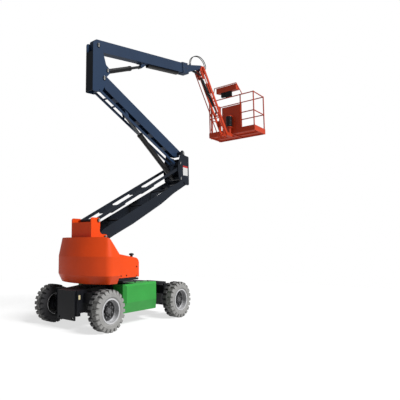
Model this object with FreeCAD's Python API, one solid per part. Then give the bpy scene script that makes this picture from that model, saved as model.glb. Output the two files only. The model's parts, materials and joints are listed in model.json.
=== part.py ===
import FreeCAD, Part
import math
import os

os.makedirs("parts", exist_ok=True)

V = FreeCAD.Vector
SIDES = (-1, 1)

# Sizes in mm. Origin on the ground below the slewing axis, +X toward the platform, +Z up.
PIN_GAP = 0.3            # radial play of a pin in its bore
SEAT_GAP = 0.3           # play between faces that turn or slide on each other
PLATE_GAP = 6.0          # side play between plates that swing past each other

# Wheels and axles
WHEELBASE = 2106.0
HALF_TRACK = 756.5
TYRE_OD = 735.0
TYRE_WIDTH = 235.0
CARCASS_DROP = 24.0      # height of a tread lug
LUGS = 22                # lugs on each shoulder
LUG_WIDTH = 58.0
RIM_OD = 444.0
BEAD_R = 205.0
RIM_WALL = 9.0
DISC_Y = 8.0             # inner face of the wheel disc, outward of the wheel centre
DISC_T = 12.0
HUB_R = 85.0
HUB_OUT = 52.0
HUB_IN = -30.0
SPINDLE_R = 45.0
MOTOR_R = 120.0
MOTOR_LENGTH = 70.0
KINGPIN_Y = 570.0
KINGPIN_R = 20.0
BARREL_R = 50.0
YOKE_T = 35.0
YOKE_HALF = 95.0         # half width of a yoke plate along the frame
YOKE_TOP = 650.0
YOKE_BOTTOM = 155.0
YOKE_WEB_Y = 465.0
YOKE_WEB_T = 30.0
AXLE_BEAM_LOW = 470.0
AXLE_BEAM_HALF = 110.0
STEER_ARM = 170.0
TIE_Z = 250.0
TIE_R = 16.0
TIE_PIN_R = 12.0
TIE_EYE_R = 26.0
TIE_EYE_HALF = 20.0
ARM_T = 24.0

# Frame
FRAME_END = 1350.0
FRAME_HALF = 272.0       # half width of the ends
FRAME_MID_HALF = 378.0
FRAME_MID_END = 575.0
DECK_MID = 750.0
DECK_END = 690.0
DECK_FLAT = 1262.0
END_LOW = 240.0
MID_LOW = 200.0
NECK_LOW = 295.0         # underside above the tie rod
NECK_FROM = 700.0
NECK_TO = 1235.0
FRAME_WALL = 14.0
TIE_DOWN_R = 22.0
END_PLATE_T = 30.0
TIE_DOWN_Y = 180.0
TIE_DOWN_Z = 208.0
END_PLATE_HALF = 236.0
END_PLATE_LOW = 165.0
BOX_END = 498.0
BOX_OUT = 680.0
BOX_LOW = 232.0
BOX_KNEE = 430.0
BOX_TOP = 770.0
BOX_TAPER = 62.0
BOX_BEVEL = 34.0
BOX_CORNER = 60.0

# Upperworks
RING_R = 330.0
RING_BORE = 190.0
RING_H = 40.0
TURN_R = 300.0
TURN_PLATE_Z = 850.0
TURN_PLATE_T = 35.0
TURN_FRONT = 345.0
TURN_BACK = -985.0
TRAY_OUT = 700.0
MAST_IN = 255.0
MAST_T = 25.0
MAST_BACK = -1000.0
MAST_BACK_T = 15.0
TAIL_R = 1200.0          # counterweight tail about the slewing axis
WEIGHT_HALF = 730.0
WEIGHT_LOW = 800.0
WEIGHT_TOP = 1660.0
WEIGHT_FRONT = -690.0
WEIGHT_LIP = 1345.0      # top edge where the side covers meet it
WEIGHT_STEP_X = -900.0
WEIGHT_BACK_FACE = -1006.0
WEIGHT_CORNER = 150.0
WEIGHT_CREASE = 1300.0
WEIGHT_FOOT = 150.0
WEIGHT_TAPER = 70.0
HOOD_HINGE_Y = 300.0
HOOD_T = 6.0
HOOD_LOW = 902.0
HOOD_TOP_FRONT = 1255.0
HOOD_ROUND = 110.0
HOOD_GAP = 8.0

# Linkage pins and bars
PIN_R = 25.0
LINK_PIN_R = 20.0
EYE_R = 42.0
LINK_EYE_R = 34.0
LOWER_PIN = (-620.0, 1655.0)
LOWER_LENGTH = 3110.0
LOWER_ANGLE = 26.44
LOWER_LINK_OFFSET = (-190.0, 330.0)
LOWER_HALF = 245.0
LOWER_WALL = 10.0
LOWER_FLANGE = 90.0
LOWER_TOP_BASE = 150.0
LOWER_TOP_END = 95.0
LOWER_DEPTH_BASE = 82.0
LOWER_DEPTH_MID = 115.0
LOWER_DEPTH_END = 75.0
CROSS_TUBE_R = 20.0
LOWER_TAPER = (1110.0, 560.0)    # ends of the far taper, back from the far pin
LOWER_LIP_END = 660.0
LOWER_TUBES = (700.0, 1500.0)
LOWER_FAR_TUBE = 780.0
BARREL_ROOM = 76.0        # half gap left in the lower link's end for the upper barrel
LINK_BAR_OUT = 205.0
LINK_BAR_T = 18.0
LINK_BAR_HALF = 32.0
LINK_TIE_DROP = 50.0
KNUCKLE_OUT = 226.0
KNUCKLE_T = 14.0
UPPER_OFFSET = (-30.0, 740.0)
UPPER_LENGTH = 2880.0
UPPER_ANGLE = 23.8
UPPER_HALF = 75.0
UPPER_WALL = 8.0
UPPER_ABOVE = 100.0
UPPER_BELOW = 170.0
UPPER_LINK_OFFSET = (-120.0, -275.0)
UPPER_BAR_OUT = 84.0
UPPER_BAR_T = 14.0
UPPER_BAR_HALF = 30.0
TOP_PLATE_OUT = 104.0
TOP_PLATE_T = 14.0
BOOM_OFFSET = (-170.0, 650.0)
BOOM_ANGLE = 9.6
BOOM_LENGTH = 3357.0
BOOM_HALF = 75.0
BOOM_ABOVE = 130.0
BOOM_BELOW = 120.0
BOOM_WALL = 7.0
COLLAR_LENGTH = 250.0
CARRIER_LENGTH = 1250.0
CARRIER_BACK = 407.0      # from the boom's mouth to the end of the hose carrier
COLLAR_STEP = 16.0
FLY_HALF = 60.0
FLY_ABOVE = 116.0
FLY_BELOW = 100.0
FLY_WALL = 7.0
FLY_INSIDE = 2600.0
NOSE_X = BOOM_LENGTH + 793.0
NOSE_Z = 130.0
NOSE_EYE_R = 48.0
JIB_LENGTH = 2032.0
JIB_ANGLE = -52.4
JIB_CHEEK_OUT = 78.0
JIB_CHEEK_T = 12.0
JIB_BAR_OUT = 105.0
JIB_BAR_T = 20.0
JIB_BAR_HALF = 45.0
JIB_LINK_OFFSET = (-110.0, -120.0)
JIB_LINK_OUT = 122.0
JIB_LINK_T = 11.0
JIB_LINK_HALF = 17.0
JIB_PIN_R = 18.0
JIB_LINK_PIN_R = 9.0
SMALL_PIN_R = 14.0
LEVEL_PIN_R = 12.0

# Cylinders: tube and rod radius, base pin offset, rod pin along and off the arm,
# barrel length, half width of the eyes, rod held inside at rest, depth of the bore
CYLINDERS = {
    "lower": {"tube": 50.0, "rod": 30.0, "base": (60.0, -145.0), "pin": (LOWER_LENGTH - 430.0, 0.0),
              "barrel": LOWER_LENGTH - 930.0, "eye": 36.0, "inside": 250.0, "depth": 370.0},
    "upper": {"tube": 60.0, "rod": 33.0, "base": (-135.0, 90.0), "pin": (UPPER_LENGTH - 955.0, -250.0),
              "barrel": UPPER_LENGTH - 1320.0, "eye": 36.0, "inside": 470.0, "depth": 560.0},
    "boom": {"tube": 52.0, "rod": 30.0, "base": (270.0, -460.0), "pin": (1425.0, -212.0),
             "barrel": 890.0, "eye": 36.0, "inside": 570.0, "depth": 680.0},
    "level": {"tube": 30.0, "rod": 17.0, "base": (-520.0, -180.0), "pin": (-10.0, -180.0),
              "barrel": 285.0, "eye": 26.0, "inside": 70.0, "depth": 228.0},
    "jib": {"tube": 35.0, "rod": 20.0, "base": (30.0, -265.0), "pin": (1350.0, 0.0),
            "barrel": 900.0, "eye": 26.0, "inside": 380.0, "depth": 450.0},
}
EYE_WALL = 16.0          # metal around a cylinder's eye
TUBE_START = 28.0        # from the base pin's surface to the tube
LUG_GAP = 7.0            # side play beside a rod eye
LUG_T = 14.0

# Jib foot, rotator and platform, measured ahead of the jib's far pin or the rotator's axis, and
# above the underside of the floor
ROTATOR_AHEAD = 325.368
ROTATOR_R = 92.0
ROTATOR_RISE = (206.0, 516.0)
PLATFORM_REACH = (110.0, 848.0)
PLATFORM_HALF = 765.0
FLOOR_RISE = 76.692
FLOOR_T = 42.0
TOE_HEIGHT = 157.0
TOE_T = 4.0
RAIL_HEIGHT = 1178.0
RAIL_MID_HEIGHT = 611.0
RAIL_R = 16.0
POST_R = 18.0
PANEL_Y = (-310.0, 290.0)
PANEL_HEIGHT = 881.0
PANEL_T = 8.0
HOOP_Y = (-200.0, 550.0)
HOOP_HEIGHT = 1586.0
GATE_REACH = (265.0, 751.0)
GATE_R = 14.0

# Cords: share of the shorter run that an arc takes, diameter, distance of each hose from the middle
# plane, and the route of the hose arch over the nose as points of (x, z) from the jib's pin
ARC_SHARE = 0.45
HOSE_D = 20.0
HOSE_Y = 20.0
HOSE_GAP = 0.4
GLAND_R = 16.0
HOSE_ROUTE = (
    (-537.817, -37.240), (-527.817, 62.760), (-439.817, 187.760), (-284.817, 282.760),
    (-99.817, 329.760), (70.183, 309.760), (197.183, 232.760), (253.183, 125.760),
    (207.183, 26.960), (100.683, 8.960),
)

# Mast, covers and what stands under them
MAST_FOOT_X = -415.0
MAST_EAR_R = 46.0
MAST_LUG_R = 62.0
HINGE_R = 8.0
HINGE_SLEEVE_R = 14.0
HINGE_X = (-664.0, -440.0)
HOOD_BACK = -682.0
HOOD_FRONT = -115.0
PACK_Y = (330.0, 676.0)
PACK_X = (-662.0, -150.0)
PACK_TOP = 1180.0
CAP_R = 24.0


def box(x0, x1, y0, y1, z0, z1):
    return Part.makeBox(x1 - x0, y1 - y0, z1 - z0, V(x0, y0, z0))


def across(x, z, y0, y1, radius):
    """Round bar along Y."""
    return Part.makeCylinder(radius, y1 - y0, V(x, y0, z), V(0, 1, 0))


def upright(x, y, z0, z1, radius):
    return Part.makeCylinder(radius, z1 - z0, V(x, y, z0))


def bar(start, end, radius):
    run = end.sub(start)
    return Part.makeCylinder(radius, run.Length, start, run)


def outline(corners, lift):
    """Closed wire through flat corners (a, b, radius); lift(a, b) gives the point in space."""
    flat = [V(a, b, 0) for a, b, r in corners]
    arcs = []
    for i, (a, b, r) in enumerate(corners):
        here = flat[i]
        back = flat[i - 1].sub(here).normalize()
        ahead = flat[(i + 1) % len(flat)].sub(here).normalize()
        if r <= 0:
            arcs.append((here, here, here))
            continue
        half = back.getAngle(ahead) / 2.0
        run = r / math.tan(half)
        middle = back.add(ahead).normalize() * (r / math.sin(half) - r)
        arcs.append((here + back * run, here + middle, here + ahead * run))
    edges = []
    for i, (first, middle, last) in enumerate(arcs):
        after = arcs[(i + 1) % len(arcs)][0]
        points = [lift(p.x, p.y) for p in (first, middle, last, after)]
        if corners[i][2] > 0:
            edges.append(Part.Arc(points[0], points[1], points[2]).toShape())
        if last.sub(after).Length > 0.01:
            edges.append(Part.makeLine(points[2], points[3]))
    return Part.Wire(edges)


def side_plate(corners, y0, y1):
    """Plate with a rounded outline in the XZ plane."""
    wire = outline([(c + (0.0,))[:3] for c in corners], lambda a, b: V(a, y0, b))
    return Part.Face(wire).extrude(V(0, y1 - y0, 0))


def flat_plate(corners, z0, z1):
    """Plate with a rounded outline in the XY plane."""
    wire = outline([(c + (0.0,))[:3] for c in corners], lambda a, b: V(a, b, z0))
    return Part.Face(wire).extrude(V(0, 0, z1 - z0))


def end_plate(corners, x0, x1):
    """Plate with a rounded outline in the YZ plane."""
    wire = outline([(c + (0.0,))[:3] for c in corners], lambda a, b: V(x0, a, b))
    return Part.Face(wire).extrude(V(x1 - x0, 0, 0))


def join(pieces):
    whole = pieces[0].fuse(pieces[1:]) if len(pieces) > 1 else pieces[0]
    return whole.removeSplitter()


def less(shape, cutters):
    return shape.cut(cutters).removeSplitter()


def seat(shape, pin, angle):
    """Raises a piece drawn along +X by an angle and moves its origin to a pin."""
    placed = shape.copy()
    placed.rotate(V(0, 0, 0), V(0, -1, 0), angle)
    placed.translate(V(pin[0], 0, pin[1]))
    return placed


def reach(pin, angle, along, off=0.0):
    """Point at a distance along and off a line raised by an angle from a pin."""
    c = math.cos(math.radians(angle))
    s = math.sin(math.radians(angle))
    return (pin[0] + along * c - off * s, pin[1] + along * s + off * c)


def shifted(pin, offset):
    return (pin[0] + offset[0], pin[1] + offset[1])


def mirrored(shape):
    return shape.mirror(V(0, 0, 0), V(0, 1, 0))


def save(name, pieces):
    shape = pieces[0] if len(pieces) == 1 else Part.makeCompound(pieces)
    shape.exportStep("parts/" + name + ".step")


# Pins of the linkage
MAST_LINK_PIN = shifted(LOWER_PIN, LOWER_LINK_OFFSET)
KNUCKLE_PIN = reach(LOWER_PIN, LOWER_ANGLE, LOWER_LENGTH)
KNUCKLE_LINK_PIN = shifted(KNUCKLE_PIN, LOWER_LINK_OFFSET)
UPPER_PIN = shifted(KNUCKLE_PIN, UPPER_OFFSET)
UPPER_TURN = 180.0 - UPPER_ANGLE
TOP_PIN = reach(UPPER_PIN, UPPER_TURN, UPPER_LENGTH)
UPPER_LINK_PIN = shifted(UPPER_PIN, UPPER_LINK_OFFSET)
TOP_LINK_PIN = shifted(TOP_PIN, UPPER_LINK_OFFSET)
BOOM_PIN = shifted(TOP_PIN, BOOM_OFFSET)
JIB_PIN = reach(BOOM_PIN, BOOM_ANGLE, NOSE_X, NOSE_Z)
FOOT_PIN = reach(JIB_PIN, JIB_ANGLE, JIB_LENGTH)
JIB_LINK_PIN = shifted(JIB_PIN, JIB_LINK_OFFSET)
FOOT_LINK_PIN = shifted(FOOT_PIN, JIB_LINK_OFFSET)
ROTATOR_X = FOOT_PIN[0] + ROTATOR_AHEAD
PLATFORM_BACK = ROTATOR_X + PLATFORM_REACH[0]
PLATFORM_FRONT = ROTATOR_X + PLATFORM_REACH[1]
GATE_X = (ROTATOR_X + GATE_REACH[0], ROTATOR_X + GATE_REACH[1])
FLOOR_LOW = FOOT_PIN[1] + FLOOR_RISE
ROTATOR_LOW = FLOOR_LOW + ROTATOR_RISE[0]
ROTATOR_HIGH = FLOOR_LOW + ROTATOR_RISE[1]
TOE_TOP = FLOOR_LOW + TOE_HEIGHT
RAIL_TOP = FLOOR_LOW + RAIL_HEIGHT
RAIL_MID = FLOOR_LOW + RAIL_MID_HEIGHT
PANEL_TOP = FLOOR_LOW + PANEL_HEIGHT
HOOP_Z = FLOOR_LOW + HOOP_HEIGHT
LOWER_BASE = shifted(LOWER_PIN, CYLINDERS["lower"]["base"])
LOWER_ROD = reach(LOWER_PIN, LOWER_ANGLE, *CYLINDERS["lower"]["pin"])
UPPER_BASE = shifted(KNUCKLE_PIN, CYLINDERS["upper"]["base"])
UPPER_ROD = reach(UPPER_PIN, UPPER_TURN, CYLINDERS["upper"]["pin"][0], -CYLINDERS["upper"]["pin"][1])
BOOM_BASE = shifted(BOOM_PIN, CYLINDERS["boom"]["base"])
BOOM_ROD = reach(BOOM_PIN, BOOM_ANGLE, *CYLINDERS["boom"]["pin"])
LEVEL_BASE = shifted(JIB_PIN, CYLINDERS["level"]["base"])
LEVEL_ROD = shifted(JIB_PIN, CYLINDERS["level"]["pin"])
JIB_BASE = shifted(JIB_PIN, CYLINDERS["jib"]["base"])
JIB_ROD = reach(JIB_PIN, JIB_ANGLE, *CYLINDERS["jib"]["pin"])
AXLE_Z = TYRE_OD / 2.0
AXLE_X = WHEELBASE / 2.0


def cylinder(name, base, pin, kind, pin_radius):
    """Hydraulic cylinder between two pins: barrel with its base eye, rod with its end eye."""
    size = CYLINDERS[kind]
    run = math.hypot(pin[0] - base[0], pin[1] - base[1])
    turn = math.degrees(math.atan2(pin[1] - base[1], pin[0] - base[0]))
    eye_r = pin_radius + EYE_WALL
    eye_half = size["eye"]
    bore = across(0, 0, -eye_half, eye_half, pin_radius + PIN_GAP)
    mouth = size["barrel"]
    start = pin_radius + TUBE_START
    tube = Part.makeCylinder(size["tube"], mouth - start, V(start, 0, 0), V(1, 0, 0))
    stem = Part.makeCylinder(min(size["tube"], eye_half) - 1.0, start + 1.0, V(0, 0, 0), V(1, 0, 0))
    neck = Part.makeCylinder(size["tube"] * 1.08, 46.0, V(mouth - 46.0, 0, 0), V(1, 0, 0))
    barrel = join([tube, stem, neck, across(0, 0, -eye_half, eye_half, eye_r)])
    hollow = Part.makeCylinder(size["rod"] + SEAT_GAP, size["depth"], V(mouth - size["depth"], 0, 0),
        V(1, 0, 0))
    barrel = less(barrel, [bore, hollow])
    shank = run - mouth + size["inside"] - pin_radius - PIN_GAP
    rod = Part.makeCylinder(size["rod"], shank, V(mouth - size["inside"], 0, 0), V(1, 0, 0))
    rod = join([rod, across(run, 0, -eye_half, eye_half, eye_r)])
    rod = less(rod, [across(run, 0, -eye_half, eye_half, pin_radius + PIN_GAP)])
    save(name + "_barrel", [seat(barrel, base, turn)])
    save(name + "_rod", [seat(rod, base, turn)])


def lugs_beside(pin, tie, radius, eye_half, gap, thick):
    """Pair of lug plates beside an eye, reaching from the eye's centre to a cross tube."""
    run = math.hypot(tie[0] - pin[0], tie[1] - pin[1])
    turn = math.degrees(math.atan2(tie[1] - pin[1], tie[0] - pin[0]))
    plates = []
    for side in SIDES:
        inner = side * (eye_half + gap)
        outer = side * (eye_half + gap + thick)
        y0, y1 = min(inner, outer), max(inner, outer)
        flat = side_plate([(-radius, -radius, radius * 0.8), (run, -radius), (run, radius),
            (-radius, radius, radius * 0.8)], y0, y1)
        plates.append(seat(flat, pin, turn))
    return plates


# Underframe
BEAM_END = FRAME_END - END_PLATE_T
half_profile = [
    (BEAM_END, END_LOW), (BEAM_END, DECK_END), (DECK_FLAT, DECK_END), (FRAME_MID_END, DECK_MID),
]
frame_profile = half_profile + [
    (-FRAME_MID_END, DECK_MID), (-DECK_FLAT, DECK_END), (-BEAM_END, DECK_END), (-BEAM_END, END_LOW),
    (-NECK_TO, END_LOW), (-NECK_TO, NECK_LOW), (-NECK_FROM, NECK_LOW), (-FRAME_MID_END, MID_LOW),
    (FRAME_MID_END, MID_LOW), (NECK_FROM, END_LOW),
]
spine = side_plate(frame_profile, -FRAME_HALF, FRAME_HALF)
waist = box(-FRAME_MID_END, FRAME_MID_END, -FRAME_MID_HALF, FRAME_MID_HALF, MID_LOW, DECK_MID)
hollow = side_plate([
    (FRAME_MID_END, MID_LOW - 10.0), (FRAME_MID_END, DECK_MID - FRAME_WALL - 20.0),
    (-FRAME_MID_END, DECK_MID - FRAME_WALL - 20.0), (-FRAME_MID_END, MID_LOW - 10.0),
], -FRAME_HALF + FRAME_WALL, FRAME_HALF - FRAME_WALL)
save("chassis_frame", [less(join([spine, waist]), [hollow])])

plates = []
for end in SIDES:
    x0, x1 = sorted((end * BEAM_END, end * FRAME_END))
    holes = [
        Part.makeCylinder(TIE_DOWN_R, END_PLATE_T + 10.0, V(x0 - 5.0, side * TIE_DOWN_Y, TIE_DOWN_Z),
            V(1, 0, 0))
        for side in SIDES
    ]
    plates.append(less(box(x0, x1, -END_PLATE_HALF, END_PLATE_HALF, END_PLATE_LOW, DECK_END), holes))
save("end_plates", plates)


def axle_beam(end, side):
    """Stub beam from the frame's side to the web that carries one wheel."""
    y0, y1 = sorted((side * FRAME_HALF, side * (YOKE_WEB_Y + YOKE_WEB_T)))
    x = end * AXLE_X
    return box(x - AXLE_BEAM_HALF, x + AXLE_BEAM_HALF, y0, y1, AXLE_BEAM_LOW, YOKE_TOP)


steer_x = -AXLE_X
axles = []
for side in SIDES:
    y0, y1 = sorted((side * YOKE_WEB_Y, side * (YOKE_WEB_Y + YOKE_WEB_T)))
    frame_parts = [axle_beam(-1, side)]
    frame_parts.append(box(steer_x - YOKE_HALF, steer_x + YOKE_HALF, y0, y1, YOKE_BOTTOM, YOKE_TOP + YOKE_T))
    tip = KINGPIN_Y + KINGPIN_R + 32.0
    shape = [
        (steer_x - YOKE_HALF, side * YOKE_WEB_Y), (steer_x + YOKE_HALF, side * YOKE_WEB_Y),
        (steer_x + YOKE_HALF, side * KINGPIN_Y), (steer_x + 28.0, side * tip),
        (steer_x - 28.0, side * tip), (steer_x - YOKE_HALF, side * KINGPIN_Y),
    ]
    for low in (YOKE_BOTTOM, YOKE_TOP):
        frame_parts.append(flat_plate(shape, low, low + YOKE_T))
    frame_parts.append(upright(steer_x, side * KINGPIN_Y, YOKE_BOTTOM, YOKE_TOP + YOKE_T, KINGPIN_R))
    y0, y1 = sorted((side * (YOKE_WEB_Y - 5.0), side * (YOKE_WEB_Y + YOKE_WEB_T + 5.0)))
    arm_high = TIE_Z - TIE_EYE_HALF - SEAT_GAP
    notch = box(steer_x + 30.0, steer_x + YOKE_HALF + 5.0, y0, y1, arm_high - ARM_T - 6.0, arm_high + 6.0)
    axles.append(less(join(frame_parts), [notch]))
save("axle_steer", axles)

axles = []
for side in SIDES:
    x = AXLE_X
    frame_parts = [axle_beam(1, side)]
    y0, y1 = sorted((side * YOKE_WEB_Y, side * (YOKE_WEB_Y + YOKE_WEB_T)))
    frame_parts.append(box(x - YOKE_HALF, x + YOKE_HALF, y0, y1, YOKE_BOTTOM + 60.0, YOKE_TOP + YOKE_T))
    y0, y1 = sorted((side * YOKE_WEB_Y, side * (HALF_TRACK - TYRE_WIDTH / 2.0 + MOTOR_LENGTH - 5.0)))
    frame_parts.append(across(x, AXLE_Z, y0, y1, MOTOR_R))
    y0, y1 = sorted((side * (HALF_TRACK - TYRE_WIDTH / 2.0), side * (HALF_TRACK + HUB_OUT - 24.0)))
    frame_parts.append(across(x, AXLE_Z, y0, y1, SPINDLE_R))
    axles.append(join(frame_parts))
save("axle_fixed", axles)


ring = upright(0, 0, DECK_MID, DECK_MID + RING_H, RING_R)
ring = less(ring, [upright(0, 0, DECK_MID - 1.0, DECK_MID + RING_H + 1.0, RING_BORE)])
save("slew_ring", [ring])

for side, word in ((1, "left"), (-1, "right")):
    shape = [
        (side * FRAME_MID_HALF, BOX_LOW), (side * (BOX_OUT - BOX_TAPER), BOX_LOW), (side * BOX_OUT, BOX_KNEE),
        (side * BOX_OUT, BOX_TOP - BOX_BEVEL), (side * (BOX_OUT - BOX_BEVEL), BOX_TOP),
        (side * FRAME_MID_HALF, BOX_TOP),
    ]
    casing = end_plate(shape, -BOX_END, BOX_END)
    wedge = []
    for end in SIDES:
        wedge.append(flat_plate([
            (end * (BOX_END + 5.0), side * (BOX_OUT + 5.0)),
            (end * (BOX_END + 5.0), side * (BOX_OUT - BOX_CORNER)),
            (end * (BOX_END - BOX_CORNER), side * (BOX_OUT + 5.0)),
        ], BOX_LOW - 5.0, BOX_TOP + 5.0))
    save("side_box_" + word, [less(casing, wedge)])

for side, word in ((1, "left"), (-1, "right")):
    y = side * KINGPIN_Y
    low = YOKE_BOTTOM + YOKE_T + SEAT_GAP
    high = YOKE_TOP - SEAT_GAP
    motor_in = HALF_TRACK - TYRE_WIDTH / 2.0 - 12.0
    motor_out = HALF_TRACK - TYRE_WIDTH / 2.0 + MOTOR_LENGTH - 5.0
    stub_out = HALF_TRACK + HUB_OUT - 24.0
    pieces = [upright(steer_x, y, low, high, BARREL_R)]
    for first, last, radius in ((KINGPIN_Y, motor_in, SPINDLE_R + 25.0), (motor_in, motor_out, MOTOR_R),
        (motor_out, stub_out, SPINDLE_R)):
        y0, y1 = sorted((side * first, side * last))
        pieces.append(across(steer_x, AXLE_Z, y0, y1, radius))
    arm = flat_plate([
        (steer_x, y - 30.0), (steer_x + STEER_ARM + TIE_EYE_R, y - TIE_EYE_R, TIE_EYE_R - 1.0),
        (steer_x + STEER_ARM + TIE_EYE_R, y + TIE_EYE_R, TIE_EYE_R - 1.0), (steer_x, y + 30.0),
    ], TIE_Z - TIE_EYE_HALF - SEAT_GAP - ARM_T, TIE_Z - TIE_EYE_HALF - SEAT_GAP)
    pieces.append(arm)
    pieces.append(upright(steer_x + STEER_ARM, y, TIE_Z - TIE_EYE_HALF - ARM_T, TIE_Z + TIE_EYE_HALF + 8.0,
        TIE_PIN_R))
    knuckle = less(join(pieces), [upright(steer_x, y, low - 1.0, high + 1.0, KINGPIN_R + PIN_GAP)])
    save("steer_knuckle_" + word, [knuckle])

tie_x = steer_x + STEER_ARM
tie = [across(tie_x, TIE_Z, -KINGPIN_Y, KINGPIN_Y, TIE_R)]
bores = []
for side in SIDES:
    tie.append(upright(tie_x, side * KINGPIN_Y, TIE_Z - TIE_EYE_HALF, TIE_Z + TIE_EYE_HALF, TIE_EYE_R))
    bores.append(upright(tie_x, side * KINGPIN_Y, TIE_Z - TIE_EYE_HALF - 1.0, TIE_Z + TIE_EYE_HALF + 1.0,
        TIE_PIN_R + PIN_GAP))
save("tie_rod", [less(join(tie), bores)])


# Wheels, drawn about the origin with the outer side toward +Y
def turned(points):
    """Solid turned about Y from a closed outline of (radius, y)."""
    corners = [V(r, y, 0) for r, y in points]
    face = Part.Face(Part.makePolygon(corners + [corners[0]]))
    return face.revolve(V(0, 0, 0), V(0, 1, 0), 360)


half = TYRE_WIDTH / 2.0
crown = TYRE_OD / 2.0 - CARCASS_DROP
carcass = turned([
    (BEAD_R, -half + 22.0), (BEAD_R + 45.0, -half), (crown - 45.0, -half), (crown, -half + 40.0),
    (crown, half - 40.0), (crown - 45.0, half), (BEAD_R + 45.0, half), (BEAD_R, half - 22.0),
])
treads = []
for side in SIDES:
    for i in range(LUGS):
        reach_in = -12.0 if i % 2 else 22.0
        lug = [
            (crown - 8.0, side * reach_in), (TYRE_OD / 2.0, side * (reach_in + 6.0)),
            (TYRE_OD / 2.0, side * (half - 16.0)), (crown - 40.0, side * half),
            (crown - 52.0, side * (half - 12.0)),
        ]
        points = [V(r, y, -LUG_WIDTH / 2.0) for r, y in lug]
        block = Part.Face(Part.makePolygon(points + [points[0]])).extrude(V(0, 0, LUG_WIDTH))
        block.rotate(V(0, 0, 0), V(0, 1, 0), 360.0 * (i + (0.25 if side > 0 else 0.75)) / LUGS)
        treads.append(block)
tyre = join([carcass] + treads)
rim_r = RIM_OD / 2.0
rim = turned([
    (0, HUB_OUT), (HUB_R, HUB_OUT), (HUB_R, DISC_Y + DISC_T), (BEAD_R - RIM_WALL, DISC_Y + DISC_T),
    (BEAD_R - RIM_WALL, half - 6.0), (rim_r, half - 6.0), (rim_r, half - 13.0),
    (BEAD_R - SEAT_GAP, half - 21.5),
    (BEAD_R - SEAT_GAP, -half + 22.0), (BEAD_R - RIM_WALL, -half + 22.0), (BEAD_R - RIM_WALL, DISC_Y),
    (SPINDLE_R + PIN_GAP, DISC_Y), (SPINDLE_R + PIN_GAP, HUB_OUT - 24.0 + SEAT_GAP),
    (0, HUB_OUT - 24.0 + SEAT_GAP),
])
for end, word in ((1, "fixed"), (-1, "steer")):
    for side, hand in ((1, "left"), (-1, "right")):
        for kind, drawn in (("tyre", tyre), ("rim", rim)):
            placed = drawn.copy() if side > 0 else mirrored(drawn)
            placed.translate(V(end * AXLE_X, side * HALF_TRACK, AXLE_Z))
            save(kind + "_" + word + "_" + hand, [placed])

# Upperworks
deck = upright(0, 0, DECK_MID + RING_H + SEAT_GAP, TURN_PLATE_Z, TURN_R)
plate_z = (TURN_PLATE_Z, TURN_PLATE_Z + TURN_PLATE_T)
bed = flat_plate([
    (TURN_BACK, -MAST_IN - MAST_T - 10.0), (0.0, -MAST_IN - MAST_T - 10.0), (TURN_FRONT, -RING_BORE, 60.0),
    (TURN_FRONT, RING_BORE, 60.0), (0.0, MAST_IN + MAST_T + 10.0), (TURN_BACK, MAST_IN + MAST_T + 10.0),
], *plate_z)
tray = box(HOOD_BACK - HOOD_GAP + 2.0, HOOD_FRONT - 3.0, -TRAY_OUT + HOOD_T + 6.0, TRAY_OUT - HOOD_T - 6.0,
    *plate_z)
turntable = less(join([deck, bed, tray]), [upright(0, 0, DECK_MID, TURN_PLATE_Z + TURN_PLATE_T + 1.0,
    RING_BORE - 60.0)])
save("turntable_base", [turntable])

deck_top = TURN_PLATE_Z + TURN_PLATE_T
ear_x, ear_z = MAST_LINK_PIN
lug_x, lug_z = LOWER_PIN
mast_outline = [
    (MAST_BACK, deck_top), (MAST_BACK, ear_z + MAST_EAR_R, 40.0),
    (ear_x + MAST_EAR_R, ear_z + MAST_EAR_R, MAST_EAR_R - 2.0), (ear_x + MAST_EAR_R, ear_z - 120.0, 60.0),
    (ear_x + 25.0, lug_z + MAST_LUG_R, 80.0), (lug_x + MAST_LUG_R, lug_z + MAST_LUG_R, MAST_LUG_R - 2.0),
    (lug_x + MAST_LUG_R, lug_z - 60.0, 30.0), (LOWER_BASE[0] + 52.0, LOWER_BASE[1] + 20.0, 30.0),
    (LOWER_BASE[0] + 60.0, LOWER_BASE[1] - 80.0, 60.0), (MAST_FOOT_X, deck_top),
]
mast = []
for side in SIDES:
    y0, y1 = sorted((side * MAST_IN, side * (MAST_IN + MAST_T)))
    mast.append(side_plate(mast_outline, y0, y1))
    y0, y1 = sorted((side * (LINK_BAR_OUT + PLATE_GAP), side * MAST_IN))
    mast.append(across(ear_x, ear_z, y0, y1, LINK_EYE_R))
    y0, y1 = sorted((side * (CYLINDERS["lower"]["eye"] + PLATE_GAP), side * MAST_IN))
    mast.append(across(LOWER_BASE[0], LOWER_BASE[1], y0, y1, PIN_R + 2.0))
    hinge_y = side * HOOD_HINGE_Y
    for x in HINGE_X:
        z = WEIGHT_LIP + (x - HOOD_BACK) * (HOOD_TOP_FRONT - WEIGHT_LIP) / (HOOD_FRONT - HOOD_BACK)
        y0, y1 = sorted((side * (MAST_IN + MAST_T - 2.0), hinge_y))
        mast.append(box(x - 6.0, x + 6.0, y0, y1, z - HINGE_R, z + HINGE_R))
slope = (HOOD_TOP_FRONT - WEIGHT_LIP) / (HOOD_FRONT - HOOD_BACK)


def cover_line(x, side, drop=0.0):
    """Point on the sloping hinge line of a side cover."""
    return V(x, side * HOOD_HINGE_Y, WEIGHT_LIP + (x - HOOD_BACK) * slope - drop)


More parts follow.
